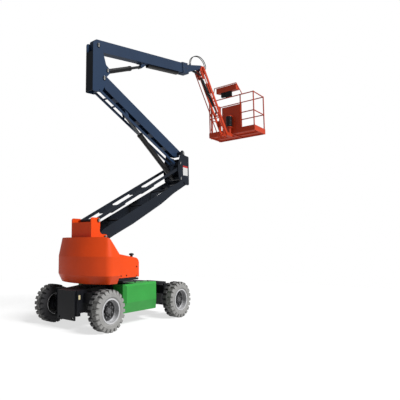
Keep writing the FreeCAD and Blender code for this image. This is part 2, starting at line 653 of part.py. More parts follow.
for side in SIDES:
    mast.append(bar(cover_line(HINGE_X[0] - 8.0, side), cover_line(HINGE_X[1] + 8.0, side), HINGE_R))
mast.append(box(MAST_BACK, MAST_BACK + MAST_BACK_T, -MAST_IN - 1.0, MAST_IN + 1.0, deck_top, ear_z - 40.0))
mast.append(across(ear_x, ear_z, -MAST_IN - MAST_T - 8.0, MAST_IN + MAST_T + 8.0, LINK_PIN_R))
mast.append(across(lug_x, lug_z, -MAST_IN - MAST_T - 8.0, MAST_IN + MAST_T + 8.0, PIN_R))
mast.append(across(LOWER_BASE[0], LOWER_BASE[1], -MAST_IN - MAST_T - 8.0, MAST_IN + MAST_T + 8.0, PIN_R - 3.0))
save("mast_bracket", [join(mast)])


def tail_outline(inset, z):
    """Plan of the counterweight: straight sides, rounded corners and a tail round the slewing axis."""
    tail = TAIL_R - inset
    wide = WEIGHT_HALF - inset
    corner = WEIGHT_CORNER - inset
    cy = wide - corner
    cx = -math.sqrt((tail - corner) ** 2 - cy ** 2)
    away = tail / (tail - corner)
    edges = []
    turn = math.atan2(cy, cx)
    middle = (turn + math.pi / 2.0) / 2.0
    for side in SIDES:
        a = V(cx, side * wide, z)
        b = V(cx + corner * math.cos(middle), side * (cy + corner * math.sin(middle)), z)
        c = V(cx * away, side * cy * away, z)
        front = V(WEIGHT_FRONT, side * wide, z)
        side_edges = [Part.makeLine(front, a), Part.Arc(a, b, c).toShape()]
        edges.append(side_edges)
    back = Part.Arc(edges[0][1].Vertexes[-1].Point, V(-tail, 0, z), edges[1][1].Vertexes[-1].Point).toShape()
    front = Part.makeLine(V(WEIGHT_FRONT, wide, z), V(WEIGHT_FRONT, -wide, z))
    return Part.Wire([front] + edges[0] + [back] + edges[1][::-1])


levels = [
    (WEIGHT_TAPER, WEIGHT_LOW), (0.0, WEIGHT_LOW + WEIGHT_FOOT),
    (0.0, WEIGHT_CREASE), (WEIGHT_TAPER, WEIGHT_TOP),
]
weight = Part.makeLoft([tail_outline(*level) for level in levels], True, True)
weight_side = side_plate([
    (-TAIL_R - 50.0, WEIGHT_LOW - 1.0), (-TAIL_R - 50.0, WEIGHT_TOP - 4.0),
    (WEIGHT_STEP_X, WEIGHT_TOP - 4.0, 150.0),
    (WEIGHT_FRONT, WEIGHT_LIP), (WEIGHT_FRONT, WEIGHT_LOW - 1.0),
], -WEIGHT_HALF - 10.0, WEIGHT_HALF + 10.0)
slot_half = MAST_IN + MAST_T + 12.0
slot = box(WEIGHT_BACK_FACE, WEIGHT_FRONT + 5.0, -slot_half, slot_half, WEIGHT_LOW - 5.0, WEIGHT_TOP + 5.0)
weight = less(weight.common(weight_side), [slot])
save("counterweight", [weight])

for side, node in ((1, "battery_pack"), (-1, "hydraulic_tank")):
    y0, y1 = sorted((side * PACK_Y[0], side * PACK_Y[1]))
    block = box(PACK_X[0], PACK_X[1], y0, y1, deck_top, PACK_TOP)
    if node == "hydraulic_tank":
        block = block.makeFillet(40.0, [e for e in block.Edges if abs(e.tangentAt(0).z) > 0.9])
    save(node, [block])

cover = [
    (HOOD_BACK, HOOD_LOW), (HOOD_BACK, WEIGHT_LIP), (HOOD_FRONT, HOOD_TOP_FRONT, HOOD_ROUND),
    (HOOD_FRONT, HOOD_LOW),
]
inner = [
    (HOOD_BACK - 5.0, HOOD_LOW - 5.0), (HOOD_BACK - 5.0, WEIGHT_LIP - HOOD_T - 5.0 * slope),
    (HOOD_FRONT - HOOD_T, HOOD_TOP_FRONT - HOOD_T, HOOD_ROUND - HOOD_T), (HOOD_FRONT - HOOD_T, HOOD_LOW - 5.0),
]
shell = side_plate(cover, HOOD_HINGE_Y + HINGE_SLEEVE_R + 2.0, TRAY_OUT)
shell = shell.cut(side_plate(inner, HOOD_HINGE_Y - 30.0, TRAY_OUT - HOOD_T))
tab_x = (HINGE_X[0] + 14.0, HINGE_X[1] - 14.0)
sleeve = bar(cover_line(tab_x[0], 1), cover_line(tab_x[1], 1), HINGE_SLEEVE_R)
tab = side_plate([
    (tab_x[0], cover_line(tab_x[0], 1, HOOD_T - 1.0).z), (tab_x[0], cover_line(tab_x[0], 1, 1.0).z),
    (tab_x[1], cover_line(tab_x[1], 1, 1.0).z), (tab_x[1], cover_line(tab_x[1], 1, HOOD_T - 1.0).z),
], HOOD_HINGE_Y, HOOD_HINGE_Y + HINGE_SLEEVE_R + 20.0)
rod = bar(cover_line(HINGE_X[0] - 20.0, 1), cover_line(HINGE_X[1] + 20.0, 1), HINGE_R + PIN_GAP)
hood = less(join([shell, sleeve, tab]), [rod])
save("hood_left", [hood])
foot = HOOD_FRONT - HOOD_ROUND - 40.0
top = WEIGHT_LIP + (foot - HOOD_BACK) * slope
stem = upright(foot, -640.0, top - 3.0, top + 22.0, CAP_R * 0.5)
cap = upright(foot, -640.0, top + 20.0, top + 38.0, CAP_R)
save("hood_right", [join([mirrored(hood), stem, cap])])

# Lower riser
run = LOWER_LENGTH
wall_outline = [
    (-95.0, -LOWER_DEPTH_BASE, 60.0), (250.0, -LOWER_DEPTH_BASE, 400.0), (900.0, -LOWER_DEPTH_MID, 400.0),
    (run - LOWER_TAPER[0], -LOWER_DEPTH_MID, 400.0), (run - LOWER_TAPER[1], -LOWER_DEPTH_END, 300.0),
    (run + 72.0, -LOWER_DEPTH_END, 60.0),
    (run + 72.0, 80.0, 60.0), (run - 400.0, LOWER_TOP_END, 300.0), (60.0, LOWER_TOP_BASE, 200.0),
    (-95.0, 110.0, 70.0),
]
lip_outline = [
    (260.0, -LOWER_DEPTH_BASE + 2.0), (900.0, -LOWER_DEPTH_MID + 1.0),
    (run - LOWER_TAPER[0], -LOWER_DEPTH_MID + 1.0),
    (run - LOWER_LIP_END, -LOWER_DEPTH_END - 5.0), (run - LOWER_LIP_END, -LOWER_DEPTH_END + 5.0),
    (run - LOWER_TAPER[0], -LOWER_DEPTH_MID + LOWER_WALL),
    (900.0, -LOWER_DEPTH_MID + LOWER_WALL), (260.0, -LOWER_DEPTH_BASE + LOWER_WALL),
]
beam = []
for side in SIDES:
    y0, y1 = sorted((side * (LOWER_HALF - LOWER_WALL), side * LOWER_HALF))
    beam.append(side_plate(wall_outline, y0, y1))
    y0, y1 = sorted((side * (LOWER_HALF - LOWER_FLANGE), side * (LOWER_HALF - LOWER_WALL)))
    beam.append(side_plate(lip_outline, y0, y1))
    y0, y1 = sorted((side * LOWER_HALF, side * (LOWER_HALF + PLATE_GAP)))
    beam.append(across(run, 0, y0, y1, EYE_R))
inside_half = LOWER_HALF - LOWER_WALL / 2.0
beam.append(across(0, 0, -MAST_IN + PLATE_GAP, MAST_IN - PLATE_GAP, EYE_R))
for along, up in ((LOWER_TUBES[0], 70.0), (LOWER_TUBES[1], 70.0), (run - LOWER_FAR_TUBE, 86.0)):
    beam.append(across(along, up, -inside_half, inside_half, CROSS_TUBE_R))
tie_at = CYLINDERS["lower"]["pin"][0] + 118.0
beam.append(across(tie_at, 0, -inside_half, inside_half, CROSS_TUBE_R + 8.0))
beam += lugs_beside(CYLINDERS["lower"]["pin"], (tie_at, 0), PIN_R + 14.0, CYLINDERS["lower"]["eye"],
    LUG_GAP, LUG_T)
bores = [
    across(0, 0, -LOWER_HALF - 20.0, LOWER_HALF + 20.0, PIN_R + PIN_GAP),
    across(run, 0, -LOWER_HALF - 20.0, LOWER_HALF + 20.0, PIN_R + PIN_GAP),
]
save("lower_riser", [seat(less(join(beam), bores), LOWER_PIN, LOWER_ANGLE)])


def link_frame(length, out, thick, half_depth, pin_r, ties, drop, room=0.0):
    """Two bars on end tubes, tied by shallow trays below them, with room left in the far tube."""
    pieces = []
    for side in SIDES:
        y0, y1 = sorted((side * (out - thick), side * out))
        flat = side_plate([
            (-half_depth, -half_depth, half_depth * 0.9), (length + half_depth, -half_depth, half_depth * 0.9),
            (length + half_depth, half_depth, half_depth * 0.9), (-half_depth, half_depth, half_depth * 0.9),
        ], y0, y1)
        pieces.append(flat)
        for start, end in ties:
            y0, y1 = sorted((side * (out - thick - 6.0), side * (out - thick)))
            pieces.append(box(start, end, y0, y1, -drop, half_depth * 0.5))
    for start, end in ties:
        pieces.append(box(start, end, -out + thick, out - thick, -drop, -drop + 6.0))
    pieces.append(across(0, 0, -out, out, pin_r + 14.0))
    for side in SIDES:
        y0, y1 = sorted((side * room, side * out))
        pieces.append(across(length, 0, y0, y1, pin_r + 14.0))
    holes = [across(along, 0, -out - 1.0, out + 1.0, pin_r + PIN_GAP) for along in (0, length)]
    return less(join(pieces), holes)


link = link_frame(LOWER_LENGTH, LINK_BAR_OUT, LINK_BAR_T, LINK_BAR_HALF, LINK_PIN_R,
                  ((500.0, 950.0), (1550.0, 2030.0)), LINK_TIE_DROP + 10.0, BARREL_ROOM)
save("lower_link", [seat(link, MAST_LINK_PIN, LOWER_ANGLE)])

# Middle knuckle
kx, kz = KNUCKLE_PIN
ux, uz = UPPER_PIN
lx, lz = KNUCKLE_LINK_PIN
mx, mz = UPPER_LINK_PIN
cx, cz = UPPER_BASE
knuckle_back = kx + 220.0
knuckle_outline = [
    (ux - 58.0, uz + 58.0, 55.0), (ux + 60.0, uz + 58.0, 55.0), (ux + 66.0, uz - 50.0, 20.0),
    (knuckle_back, uz - 65.0, 20.0), (knuckle_back, kz - 50.0, 50.0), (kx - 60.0, kz - 55.0, 50.0),
    (cx - 52.0, cz - 50.0, 40.0), (lx - 50.0, lz - 70.0, 50.0), (lx - 50.0, lz + 60.0, 40.0),
    (mx - 48.0, mz + 60.0, 60.0),
]
inner = KNUCKLE_OUT - KNUCKLE_T
pieces = []
for side in SIDES:
    y0, y1 = sorted((side * inner, side * KNUCKLE_OUT))
    pieces.append(side_plate(knuckle_outline, y0, y1))
    for pin, start, radius in ((UPPER_PIN, UPPER_HALF + PLATE_GAP + 4.0, EYE_R),
        (UPPER_LINK_PIN, UPPER_BAR_OUT + PLATE_GAP, LINK_EYE_R - 2.0),
                               (UPPER_BASE, CYLINDERS["upper"]["eye"] + PLATE_GAP, PIN_R + 12.0)):
        y0, y1 = sorted((side * start, side * inner))
        pieces.append(across(pin[0], pin[1], y0, y1, radius))
pieces.append(box(knuckle_back - 14.0, knuckle_back, -inner - 1.0, inner + 1.0, kz + 30.0, uz - 85.0))
pieces.append(across(kx, kz, -inner - 1.0, inner + 1.0, EYE_R))
pin_out = LOWER_HALF + PLATE_GAP + 1.0
pieces.append(across(kx, kz, -pin_out, pin_out, PIN_R))
for side in SIDES:
    y0, y1 = sorted((side * pin_out, side * (pin_out + 9.0)))
    pieces.append(across(kx, kz, y0, y1, PIN_R + 11.0))
for side in SIDES:
    y0, y1 = sorted((side * BARREL_ROOM, side * (inner + 1.0)))
    pieces.append(across(lx, lz, y0, y1, LINK_PIN_R))
pieces.append(across(ux, uz, -inner - 1.0, inner + 1.0, PIN_R))
pieces.append(across(mx, mz, -inner - 1.0, inner + 1.0, LINK_PIN_R))
pieces.append(across(cx, cz, -inner - 1.0, inner + 1.0, PIN_R - 3.0))
save("mid_knuckle", [join(pieces)])

# Upper riser, drawn with its underside toward +Z because it rises toward -X
run = UPPER_LENGTH
riser_outline = [
    (-82.0, -UPPER_ABOVE, 60.0), (run + 82.0, -UPPER_ABOVE, 60.0), (run + 82.0, 60.0, 50.0),
    (run - 150.0, UPPER_BELOW, 60.0), (150.0, UPPER_BELOW, 60.0), (-82.0, 60.0, 50.0),
]
riser_core = [
    (-60.0, -UPPER_ABOVE + UPPER_WALL), (run + 60.0, -UPPER_ABOVE + UPPER_WALL),
    (run + 60.0, UPPER_BELOW + 10.0),
    (-60.0, UPPER_BELOW + 10.0),
]
riser = side_plate(riser_outline, -UPPER_HALF, UPPER_HALF)
riser = riser.cut(side_plate(riser_core, -UPPER_HALF + UPPER_WALL, UPPER_HALF - UPPER_WALL))
pieces = [riser]
for along in (0, run):
    pieces.append(across(along, 0, -UPPER_HALF - 4.0, UPPER_HALF + 4.0, EYE_R))
for start, end in ((420.0, 560.0), (980.0, 1120.0), (1480.0, 1620.0), (2300.0, 2440.0)):
    pieces.append(box(start, end, -UPPER_HALF + 1.0, UPPER_HALF - 1.0, UPPER_BELOW - UPPER_WALL, UPPER_BELOW))
along, off = CYLINDERS["upper"]["pin"]
tie = (along + 130.0, 120.0)
pieces.append(across(tie[0], tie[1], -UPPER_HALF + 1.0, UPPER_HALF - 1.0, CROSS_TUBE_R + 6.0))
pieces += lugs_beside((along, -off), tie, PIN_R + 14.0, CYLINDERS["upper"]["eye"], LUG_GAP, LUG_T)
bores = [across(at, 0, -UPPER_HALF - 9.0, UPPER_HALF + 9.0, PIN_R + PIN_GAP) for at in (0, run)]
save("upper_riser", [seat(less(join(pieces), bores), UPPER_PIN, UPPER_TURN)])

link = link_frame(UPPER_LENGTH, UPPER_BAR_OUT, UPPER_BAR_T, UPPER_BAR_HALF, LINK_PIN_R, (), 0)
ties = [across(along, 0, -UPPER_BAR_OUT + 1.0, UPPER_BAR_OUT - 1.0, CROSS_TUBE_R) for along in (2330.0, 2600.0)]
save("upper_link", [seat(join([link] + ties), UPPER_LINK_PIN, UPPER_TURN)])

# Top knuckle
px, pz = BOOM_PIN
tx, tz = TOP_PIN
nx, nz = TOP_LINK_PIN
bx, bz = BOOM_BASE
top_outline = [
    (px - 150.0, pz + 50.0, 60.0), (px + 60.0, pz + 62.0, 58.0), (px + 130.0, pz - 90.0, 60.0),
    (px + 225.0, pz - 350.0, 40.0), (bx + 58.0, bz + 55.0, 50.0), (bx + 62.0, bz - 50.0, 45.0),
    (tx + 68.0, tz + 40.0, 40.0), (tx + 66.0, tz - 60.0, 50.0), (tx - 20.0, tz - 240.0, 40.0),
    (nx + 40.0, nz - 52.0, 45.0), (px - 155.0, nz - 75.0, 20.0),
]
inner = TOP_PLATE_OUT - TOP_PLATE_T
pieces = []
for side in SIDES:
    y0, y1 = sorted((side * inner, side * TOP_PLATE_OUT))
    pieces.append(side_plate(top_outline, y0, y1))
    y0, y1 = sorted((side * (CYLINDERS["boom"]["eye"] + PLATE_GAP), side * inner))
    pieces.append(across(bx, bz, y0, y1, PIN_R + 12.0))
pieces.append(box(px - 153.0, px - 141.0, -inner - 1.0, inner + 1.0, nz - 60.0, pz - 160.0))
for x, z, radius in ((px, pz, PIN_R), (tx, tz, PIN_R), (nx, nz, LINK_PIN_R), (bx, bz, PIN_R - 3.0)):
    pieces.append(across(x, z, -TOP_PLATE_OUT - 6.0, TOP_PLATE_OUT + 6.0, radius))
save("top_knuckle", [join(pieces)])

# Main boom
tube = box(-72.0, BOOM_LENGTH, -BOOM_HALF, BOOM_HALF, -BOOM_BELOW, BOOM_ABOVE)
round_end = side_plate([
    (-72.0, -BOOM_BELOW, 70.0), (BOOM_LENGTH, -BOOM_BELOW), (BOOM_LENGTH, BOOM_ABOVE),
    (-72.0, BOOM_ABOVE, 80.0),
], -BOOM_HALF, BOOM_HALF)
collar_x = BOOM_LENGTH - COLLAR_LENGTH
out = COLLAR_STEP
collar = box(collar_x, BOOM_LENGTH, -BOOM_HALF - out, BOOM_HALF + out, -BOOM_BELOW - out, BOOM_ABOVE + out)
bore_y = BOOM_HALF - BOOM_WALL
bore_low = -BOOM_BELOW + BOOM_WALL
bore_high = BOOM_ABOVE - BOOM_WALL
core = box(60.0, BOOM_LENGTH + 5.0, -bore_y, bore_y, bore_low, bore_high)
boom = join([tube.common(round_end), collar]).cut(core)
pieces = [boom, across(0, 0, -inner + PLATE_GAP, inner - PLATE_GAP, EYE_R)]
pad = (BOOM_LENGTH - 110.0, BOOM_LENGTH - 10.0)
pieces.append(box(pad[0], pad[1], -40.0, 40.0, FLY_ABOVE + SEAT_GAP, bore_high + 1.0))
pieces.append(box(pad[0], pad[1], -40.0, 40.0, bore_low - 1.0, -FLY_BELOW - SEAT_GAP))
for side in SIDES:
    y0, y1 = sorted((side * (FLY_HALF + SEAT_GAP), side * (bore_y + 1.0)))
    pieces.append(box(pad[0], pad[1], y0, y1, -60.0, 70.0))
along, off = CYLINDERS["boom"]["pin"]
tie = (along + 125.0, -BOOM_BELOW - 24.0)
strip_in = CYLINDERS["boom"]["eye"] + LUG_GAP
for side in SIDES:
    y0, y1 = sorted((side * strip_in, side * (strip_in + 26.0)))
    pieces.append(box(along - 40.0, along + 210.0, y0, y1, -BOOM_BELOW - 12.0, -BOOM_BELOW + 1.0))
pieces += lugs_beside((along, off), tie, PIN_R + 10.0, CYLINDERS["boom"]["eye"], LUG_GAP, LUG_T)
bores = [across(0, 0, -BOOM_HALF - 20.0, BOOM_HALF + 20.0, PIN_R + PIN_GAP)]
save("main_boom", [seat(less(join(pieces), bores), BOOM_PIN, BOOM_ANGLE)])

guard_y = 46.0
guard_x = (BOOM_LENGTH - CARRIER_BACK - CARRIER_LENGTH, BOOM_LENGTH - CARRIER_BACK)
guard = box(*guard_x, -guard_y, guard_y, -BOOM_BELOW - 58.0, -BOOM_BELOW)
guard_core = (guard_x[0] - 10.0, guard_x[1] + 10.0)
guard = guard.cut(box(*guard_core, -guard_y + 4.0, guard_y - 4.0, -BOOM_BELOW - 54.0, -BOOM_BELOW - 8.0))
save("hose_carrier", [seat(guard, BOOM_PIN, BOOM_ANGLE)])

# Telescoping inner boom with its bent nose
tail = BOOM_LENGTH - FLY_INSIDE
neck = BOOM_LENGTH + 24.0
fly = box(tail, neck, -FLY_HALF, FLY_HALF, -FLY_BELOW, FLY_ABOVE)
fly = fly.cut(box(tail - 5.0, neck - 12.0, -FLY_HALF + FLY_WALL, FLY_HALF - FLY_WALL,
    -FLY_BELOW + FLY_WALL, FLY_ABOVE - FLY_WALL))
nose_outline = [
    (neck - 6.0, FLY_ABOVE), (NOSE_X - 75.0, NOSE_Z + 72.0, 60.0),
    (NOSE_X + NOSE_EYE_R, NOSE_Z + NOSE_EYE_R, 44.0),
    (NOSE_X + NOSE_EYE_R, NOSE_Z - NOSE_EYE_R, 44.0), (NOSE_X - 160.0, NOSE_Z - 40.0, 80.0),
    (neck + 60.0, -60.0, 60.0),
    (neck + 30.0, -FLY_BELOW), (neck - 6.0, -FLY_BELOW),
]
nose_roof = [
    (neck - 6.0, FLY_ABOVE), (NOSE_X - 110.0, NOSE_Z + 67.0), (NOSE_X - 110.0, NOSE_Z + 58.0),
    (neck - 6.0, FLY_ABOVE - 9.0),
]
pieces = [fly]
nose = []
for side in SIDES:
    y0, y1 = sorted((side * (FLY_HALF - 12.0), side * FLY_HALF))
    nose.append(side_plate(nose_outline, y0, y1))
nose.append(side_plate(nose_roof, -FLY_HALF + 11.0, FLY_HALF - 11.0))
nose.append(across(NOSE_X, NOSE_Z, -FLY_HALF, FLY_HALF, JIB_PIN_R + 16.0))
for low, high in ((FLY_ABOVE - 1.0, bore_high - SEAT_GAP), (bore_low + SEAT_GAP, -FLY_BELOW + 1.0)):
    pieces.append(box(tail, tail + 100.0, -40.0, 40.0, low, high))
for side in SIDES:
    y0, y1 = sorted((side * (FLY_HALF - 1.0), side * (bore_y - SEAT_GAP)))
    pieces.append(box(tail, tail + 100.0, y0, y1, -60.0, 70.0))
size = CYLINDERS["level"]["base"]
turn = math.radians(BOOM_ANGLE)
base_x = NOSE_X + size[0] * math.cos(turn) + size[1] * math.sin(turn)
base_z = NOSE_Z - size[0] * math.sin(turn) + size[1] * math.cos(turn)
for side in SIDES:
    y0, y1 = sorted((side * (CYLINDERS["level"]["eye"] + PLATE_GAP), side * (FLY_HALF - 6.0)))
    nose.append(across(base_x, base_z, y0, y1, LEVEL_PIN_R + 10.0))
nose.append(across(base_x, base_z, -FLY_HALF - 3.0, FLY_HALF + 3.0, LEVEL_PIN_R))
bores = [across(NOSE_X, NOSE_Z, -FLY_HALF - 5.0, FLY_HALF + 5.0, JIB_PIN_R + PIN_GAP)]
behind = box(neck - 20.0, neck, -FLY_HALF - 5.0, FLY_HALF + 5.0, -FLY_BELOW - 5.0, FLY_ABOVE + 5.0)
fly = seat(join(pieces), BOOM_PIN, BOOM_ANGLE)
nose = seat(less(join(nose), bores + [behind]), BOOM_PIN, BOOM_ANGLE)


def route(points, y):
    return [V(JIB_PIN[0] + x, y, JIB_PIN[1] + z) for x, z in points]


def gland(end, inner, length):
    """Short sleeve that holds a hose's end, in line with the hose's last run."""
    out = (inner - end).normalize()
    return bar(end - out * HOSE_GAP, end - out * length, GLAND_R)


glands = []
for side in SIDES:
    hose = route(HOSE_ROUTE, side * HOSE_Y)
    glands.append(gland(hose[0], hose[1], 50.0))
    glands.append(gland(hose[-1], hose[-2], 68.0))
nose_bore = [across(JIB_PIN[0], JIB_PIN[1], -FLY_HALF, FLY_HALF, JIB_PIN_R + PIN_GAP)]
save("fly_boom", [fly, less(join([nose] + glands), nose_bore)])


def cord(name, points, diameter):
    """Hose of straight runs joined by the largest tangent arcs that the runs allow."""
    at = points[0]
    edges = []
    radii = []
    for before, corner, after in zip(points, points[1:], points[2:]):
        back = before - corner
        on = after - corner
        cut = ARC_SHARE * min(back.Length, on.Length)
        half_open = back.getAngle(on) / 2.0
        radius = cut * math.tan(half_open)
        back.normalize()
        on.normalize()
        middle = (back + on).normalize() * (radius / math.sin(half_open) - radius)
        first = corner + back * cut
        edges.append(Part.LineSegment(at, first).toShape())
        edges.append(Part.Arc(first, corner + middle, corner + on * cut).toShape())
        at = corner + on * cut
        radii.append(radius)
    edges.append(Part.LineSegment(at, points[-1]).toShape())
    path = Part.Wire(edges)
    section = Part.Wire(Part.makeCircle(diameter / 2.0, points[0], points[1] - points[0]))
    tube = path.makePipeShell([section], True, False)
    share = tube.Volume / (path.Length * math.pi * diameter ** 2 / 4.0)
    print(name, "length", round(path.Length, 1), "volume share", round(share, 4),
        "radii", [round(r) for r in radii])
    save(name, [tube])


for side, word in ((1, "left"), (-1, "right")):
    cord("nose_hose_" + word, route(HOSE_ROUTE, side * HOSE_Y), HOSE_D)

# Jib
jx, jz = JIB_PIN
qx, qz = JIB_LINK_PIN
vx, vz = JIB_BASE
wx, wz = LEVEL_ROD
cheek_in = JIB_CHEEK_OUT - JIB_CHEEK_T
pieces = []
cheek_outline = [
    (jx - 62.0, jz + 52.0, 48.0), (jx + 54.0, jz + 52.0, 48.0), (jx + 60.0, jz - 60.0, 60.0),
    (vx + 40.0, vz + 60.0, 60.0), (vx + 38.0, vz - 36.0, 34.0), (vx - 40.0, vz - 36.0, 34.0),
    (qx - 30.0, qz - 40.0, 60.0), (qx - 30.0, qz + 40.0, 30.0),
]
for side in SIDES:
    y0, y1 = sorted((side * cheek_in, side * JIB_CHEEK_OUT))
    pieces.append(side_plate(cheek_outline, y0, y1))
    y0, y1 = sorted((side * cheek_in, side * (JIB_LINK_OUT + 4.0)))
    pieces.append(across(qx, qz, y0, y1, JIB_LINK_PIN_R))
    y0, y1 = sorted((side * JIB_CHEEK_OUT, side * (JIB_LINK_OUT - JIB_LINK_T - 2.0)))
    pieces.append(across(qx, qz, y0, y1, JIB_LINK_PIN_R + 5.0))
    y0, y1 = sorted((side * (CYLINDERS["jib"]["eye"] + PLATE_GAP), side * (cheek_in + 1.0)))
    pieces.append(across(vx, vz, y0, y1, SMALL_PIN_R + 10.0))
    pieces.append(across(wx, wz, y0, y1, LEVEL_PIN_R + 8.0))
pieces.append(across(vx, vz, -JIB_CHEEK_OUT, JIB_CHEEK_OUT, SMALL_PIN_R))
pieces.append(across(jx, jz, -JIB_BAR_OUT - 8.0, JIB_BAR_OUT + 8.0, JIB_PIN_R))
save("jib_bracket", [join(pieces)])

run = JIB_LENGTH
pieces = []
for side in SIDES:
    y0, y1 = sorted((side * (JIB_BAR_OUT - JIB_BAR_T), side * JIB_BAR_OUT))
    deep = JIB_BAR_HALF
    pieces.append(side_plate([
        (-deep, -deep, 40.0), (run + deep, -deep, 40.0), (run + deep, deep, 40.0), (-deep, deep, 40.0),
    ], y0, y1))
tie_y = JIB_BAR_OUT - JIB_BAR_T + 1.0
for start, end in ((450.0, 760.0), (1620.0, 1800.0)):
    pieces.append(box(start, end, -tie_y, tie_y, JIB_BAR_HALF - 9.0, JIB_BAR_HALF))
along, off = CYLINDERS["jib"]["pin"]
pieces.append(across(along + 100.0, 0, -tie_y, tie_y, CROSS_TUBE_R))
pieces += lugs_beside((along, off), (along + 100.0, 0), SMALL_PIN_R + 12.0, CYLINDERS["jib"]["eye"],
    LUG_GAP, LUG_T - 3.0)
bores = [across(at, 0, -JIB_BAR_OUT - 5.0, JIB_BAR_OUT + 5.0, JIB_PIN_R + PIN_GAP) for at in (0, run)]
save("jib_arm", [seat(less(join(pieces), bores), JIB_PIN, JIB_ANGLE)])

bars = []
for side in SIDES:
    y0, y1 = sorted((side * (JIB_LINK_OUT - JIB_LINK_T), side * JIB_LINK_OUT))
    deep = JIB_LINK_HALF
    flat = side_plate([
        (-deep, -deep, 15.0), (run + deep, -deep, 15.0), (run + deep, deep, 15.0), (-deep, deep, 15.0),
    ], y0, y1)
    holes = [across(at, 0, y0 - 2.0, y1 + 2.0, JIB_LINK_PIN_R + PIN_GAP) for at in (0, run)]
    bars.append(seat(less(flat, holes), JIB_LINK_PIN, JIB_ANGLE))
save("jib_link", bars)

fx, fz = FOOT_PIN
gx, gz = FOOT_LINK_PIN
foot_top = FLOOR_LOW - 22.0
foot_low = foot_top - 92.0
pieces = []
foot_outline = [
    (fx - 46.0, fz + 52.0, 44.0), (fx + 60.0, foot_top + 2.0, 30.0), (ROTATOR_X + 60.0, foot_top, 20.0),
    (ROTATOR_X + 60.0, foot_low, 40.0), (fx + 30.0, foot_low, 40.0), (gx + 30.0, gz - 34.0, 30.0),
    (gx - 34.0, gz - 34.0, 30.0), (gx - 34.0, gz + 30.0, 30.0),
]
for side in SIDES:
    y0, y1 = sorted((side * cheek_in, side * JIB_CHEEK_OUT))
    pieces.append(side_plate(foot_outline, y0, y1))
    y0, y1 = sorted((side * cheek_in, side * (JIB_LINK_OUT + 4.0)))
    pieces.append(across(gx, gz, y0, y1, JIB_LINK_PIN_R))
    y0, y1 = sorted((side * JIB_CHEEK_OUT, side * (JIB_LINK_OUT - JIB_LINK_T - 2.0)))
    pieces.append(across(gx, gz, y0, y1, JIB_LINK_PIN_R + 5.0))
pieces.append(box(fx + 90.0, ROTATOR_X + 58.0, -cheek_in - 1.0, cheek_in + 1.0, foot_low + 4.0,
    foot_low + 16.0))
pieces.append(box(ROTATOR_X - 70.0, ROTATOR_X + 58.0, -cheek_in - 1.0, cheek_in + 1.0, foot_top - 14.0,
    foot_top))
pieces.append(upright(ROTATOR_X, 0, foot_low + 10.0, ROTATOR_LOW, 56.0))
pieces.append(across(fx, fz, -JIB_BAR_OUT - 8.0, JIB_BAR_OUT + 8.0, JIB_PIN_R))
save("jib_foot", [join(pieces)])
body = upright(ROTATOR_X, 0, ROTATOR_LOW, ROTATOR_HIGH, ROTATOR_R)
stub = upright(ROTATOR_X, 0, ROTATOR_HIGH, ROTATOR_HIGH + 34.0, 34.0)
save("rotator", [join([body, stub])])

# Platform
mount_back = PLATFORM_BACK - 1.0
top_z = ROTATOR_HIGH + SEAT_GAP
pieces = [box(mount_back - 11.0, mount_back, -118.0, 118.0, ROTATOR_LOW - 75.0, ROTATOR_HIGH + 60.0)]
for low, high, radius in ((top_z, top_z + 26.0, 34.0), (ROTATOR_LOW - 32.0, ROTATOR_LOW - 6.0, 56.0)):
    flange = join([
        upright(ROTATOR_X, 0, low, high, 84.0), box(ROTATOR_X, mount_back - 5.0, -84.0, 84.0, low, high),
    ])
    pieces.append(less(flange, [upright(ROTATOR_X, 0, low - 1.0, high + 1.0, radius + PIN_GAP)]))
save("platform_mount", [join(pieces)])

half = PLATFORM_HALF
slab = [box(PLATFORM_BACK, PLATFORM_FRONT, -half, half, FLOOR_LOW + FLOOR_T - 8.0, FLOOR_LOW + FLOOR_T)]
frame_w = 40.0
for x in (PLATFORM_BACK, (PLATFORM_BACK + PLATFORM_FRONT - frame_w) / 2.0, PLATFORM_FRONT - frame_w):
    slab.append(box(x, x + frame_w, -half, half, FLOOR_LOW, FLOOR_LOW + FLOOR_T))
for y in (-half, -frame_w / 2.0, half - frame_w):
    slab.append(box(PLATFORM_BACK, PLATFORM_FRONT, y, y + frame_w, FLOOR_LOW, FLOOR_LOW + FLOOR_T))
for x in (PLATFORM_BACK + 110.0, PLATFORM_FRONT - 110.0):
    for y in (-half + frame_w / 2.0, half - frame_w / 2.0):
        slab.append(upright(x, y, FLOOR_LOW - 16.0, FLOOR_LOW + 2.0, 18.0))
save("platform_floor", [join(slab)])

floor_top = FLOOR_LOW + FLOOR_T
x0 = PLATFORM_BACK + PANEL_T + POST_R
x1 = PLATFORM_FRONT - TOE_T - POST_R
yr = half - TOE_T - POST_R
hinge_x = GATE_X[0] - 30.0
latch_x = GATE_X[1] + 30.0
rail_levels = (RAIL_MID, RAIL_TOP)


def post(x, y):
    return upright(x, y, floor_top, RAIL_TOP + RAIL_R, POST_R)


def end_frame(x, ys):
    """Cross frame of the cage: two rails between posts."""
    rails = [bar(V(x, -yr, z), V(x, yr, z), RAIL_R) for z in rail_levels]
    return rails + [post(x, y) for y in ys]


def side_rail(xa, xb, y, z, ends):
    """Rail along the cage, mouthed round the corner posts that it meets."""
    cutters = [upright(x, y, z - 2.0 * RAIL_R, z + 2.0 * RAIL_R, POST_R + SEAT_GAP) for x in ends]
    cutters += [bar(V(x, -yr, z), V(x, yr, z), RAIL_R + SEAT_GAP) for x in ends]
    return bar(V(xa, y, z), V(xb, y, z), RAIL_R).cut(cutters)


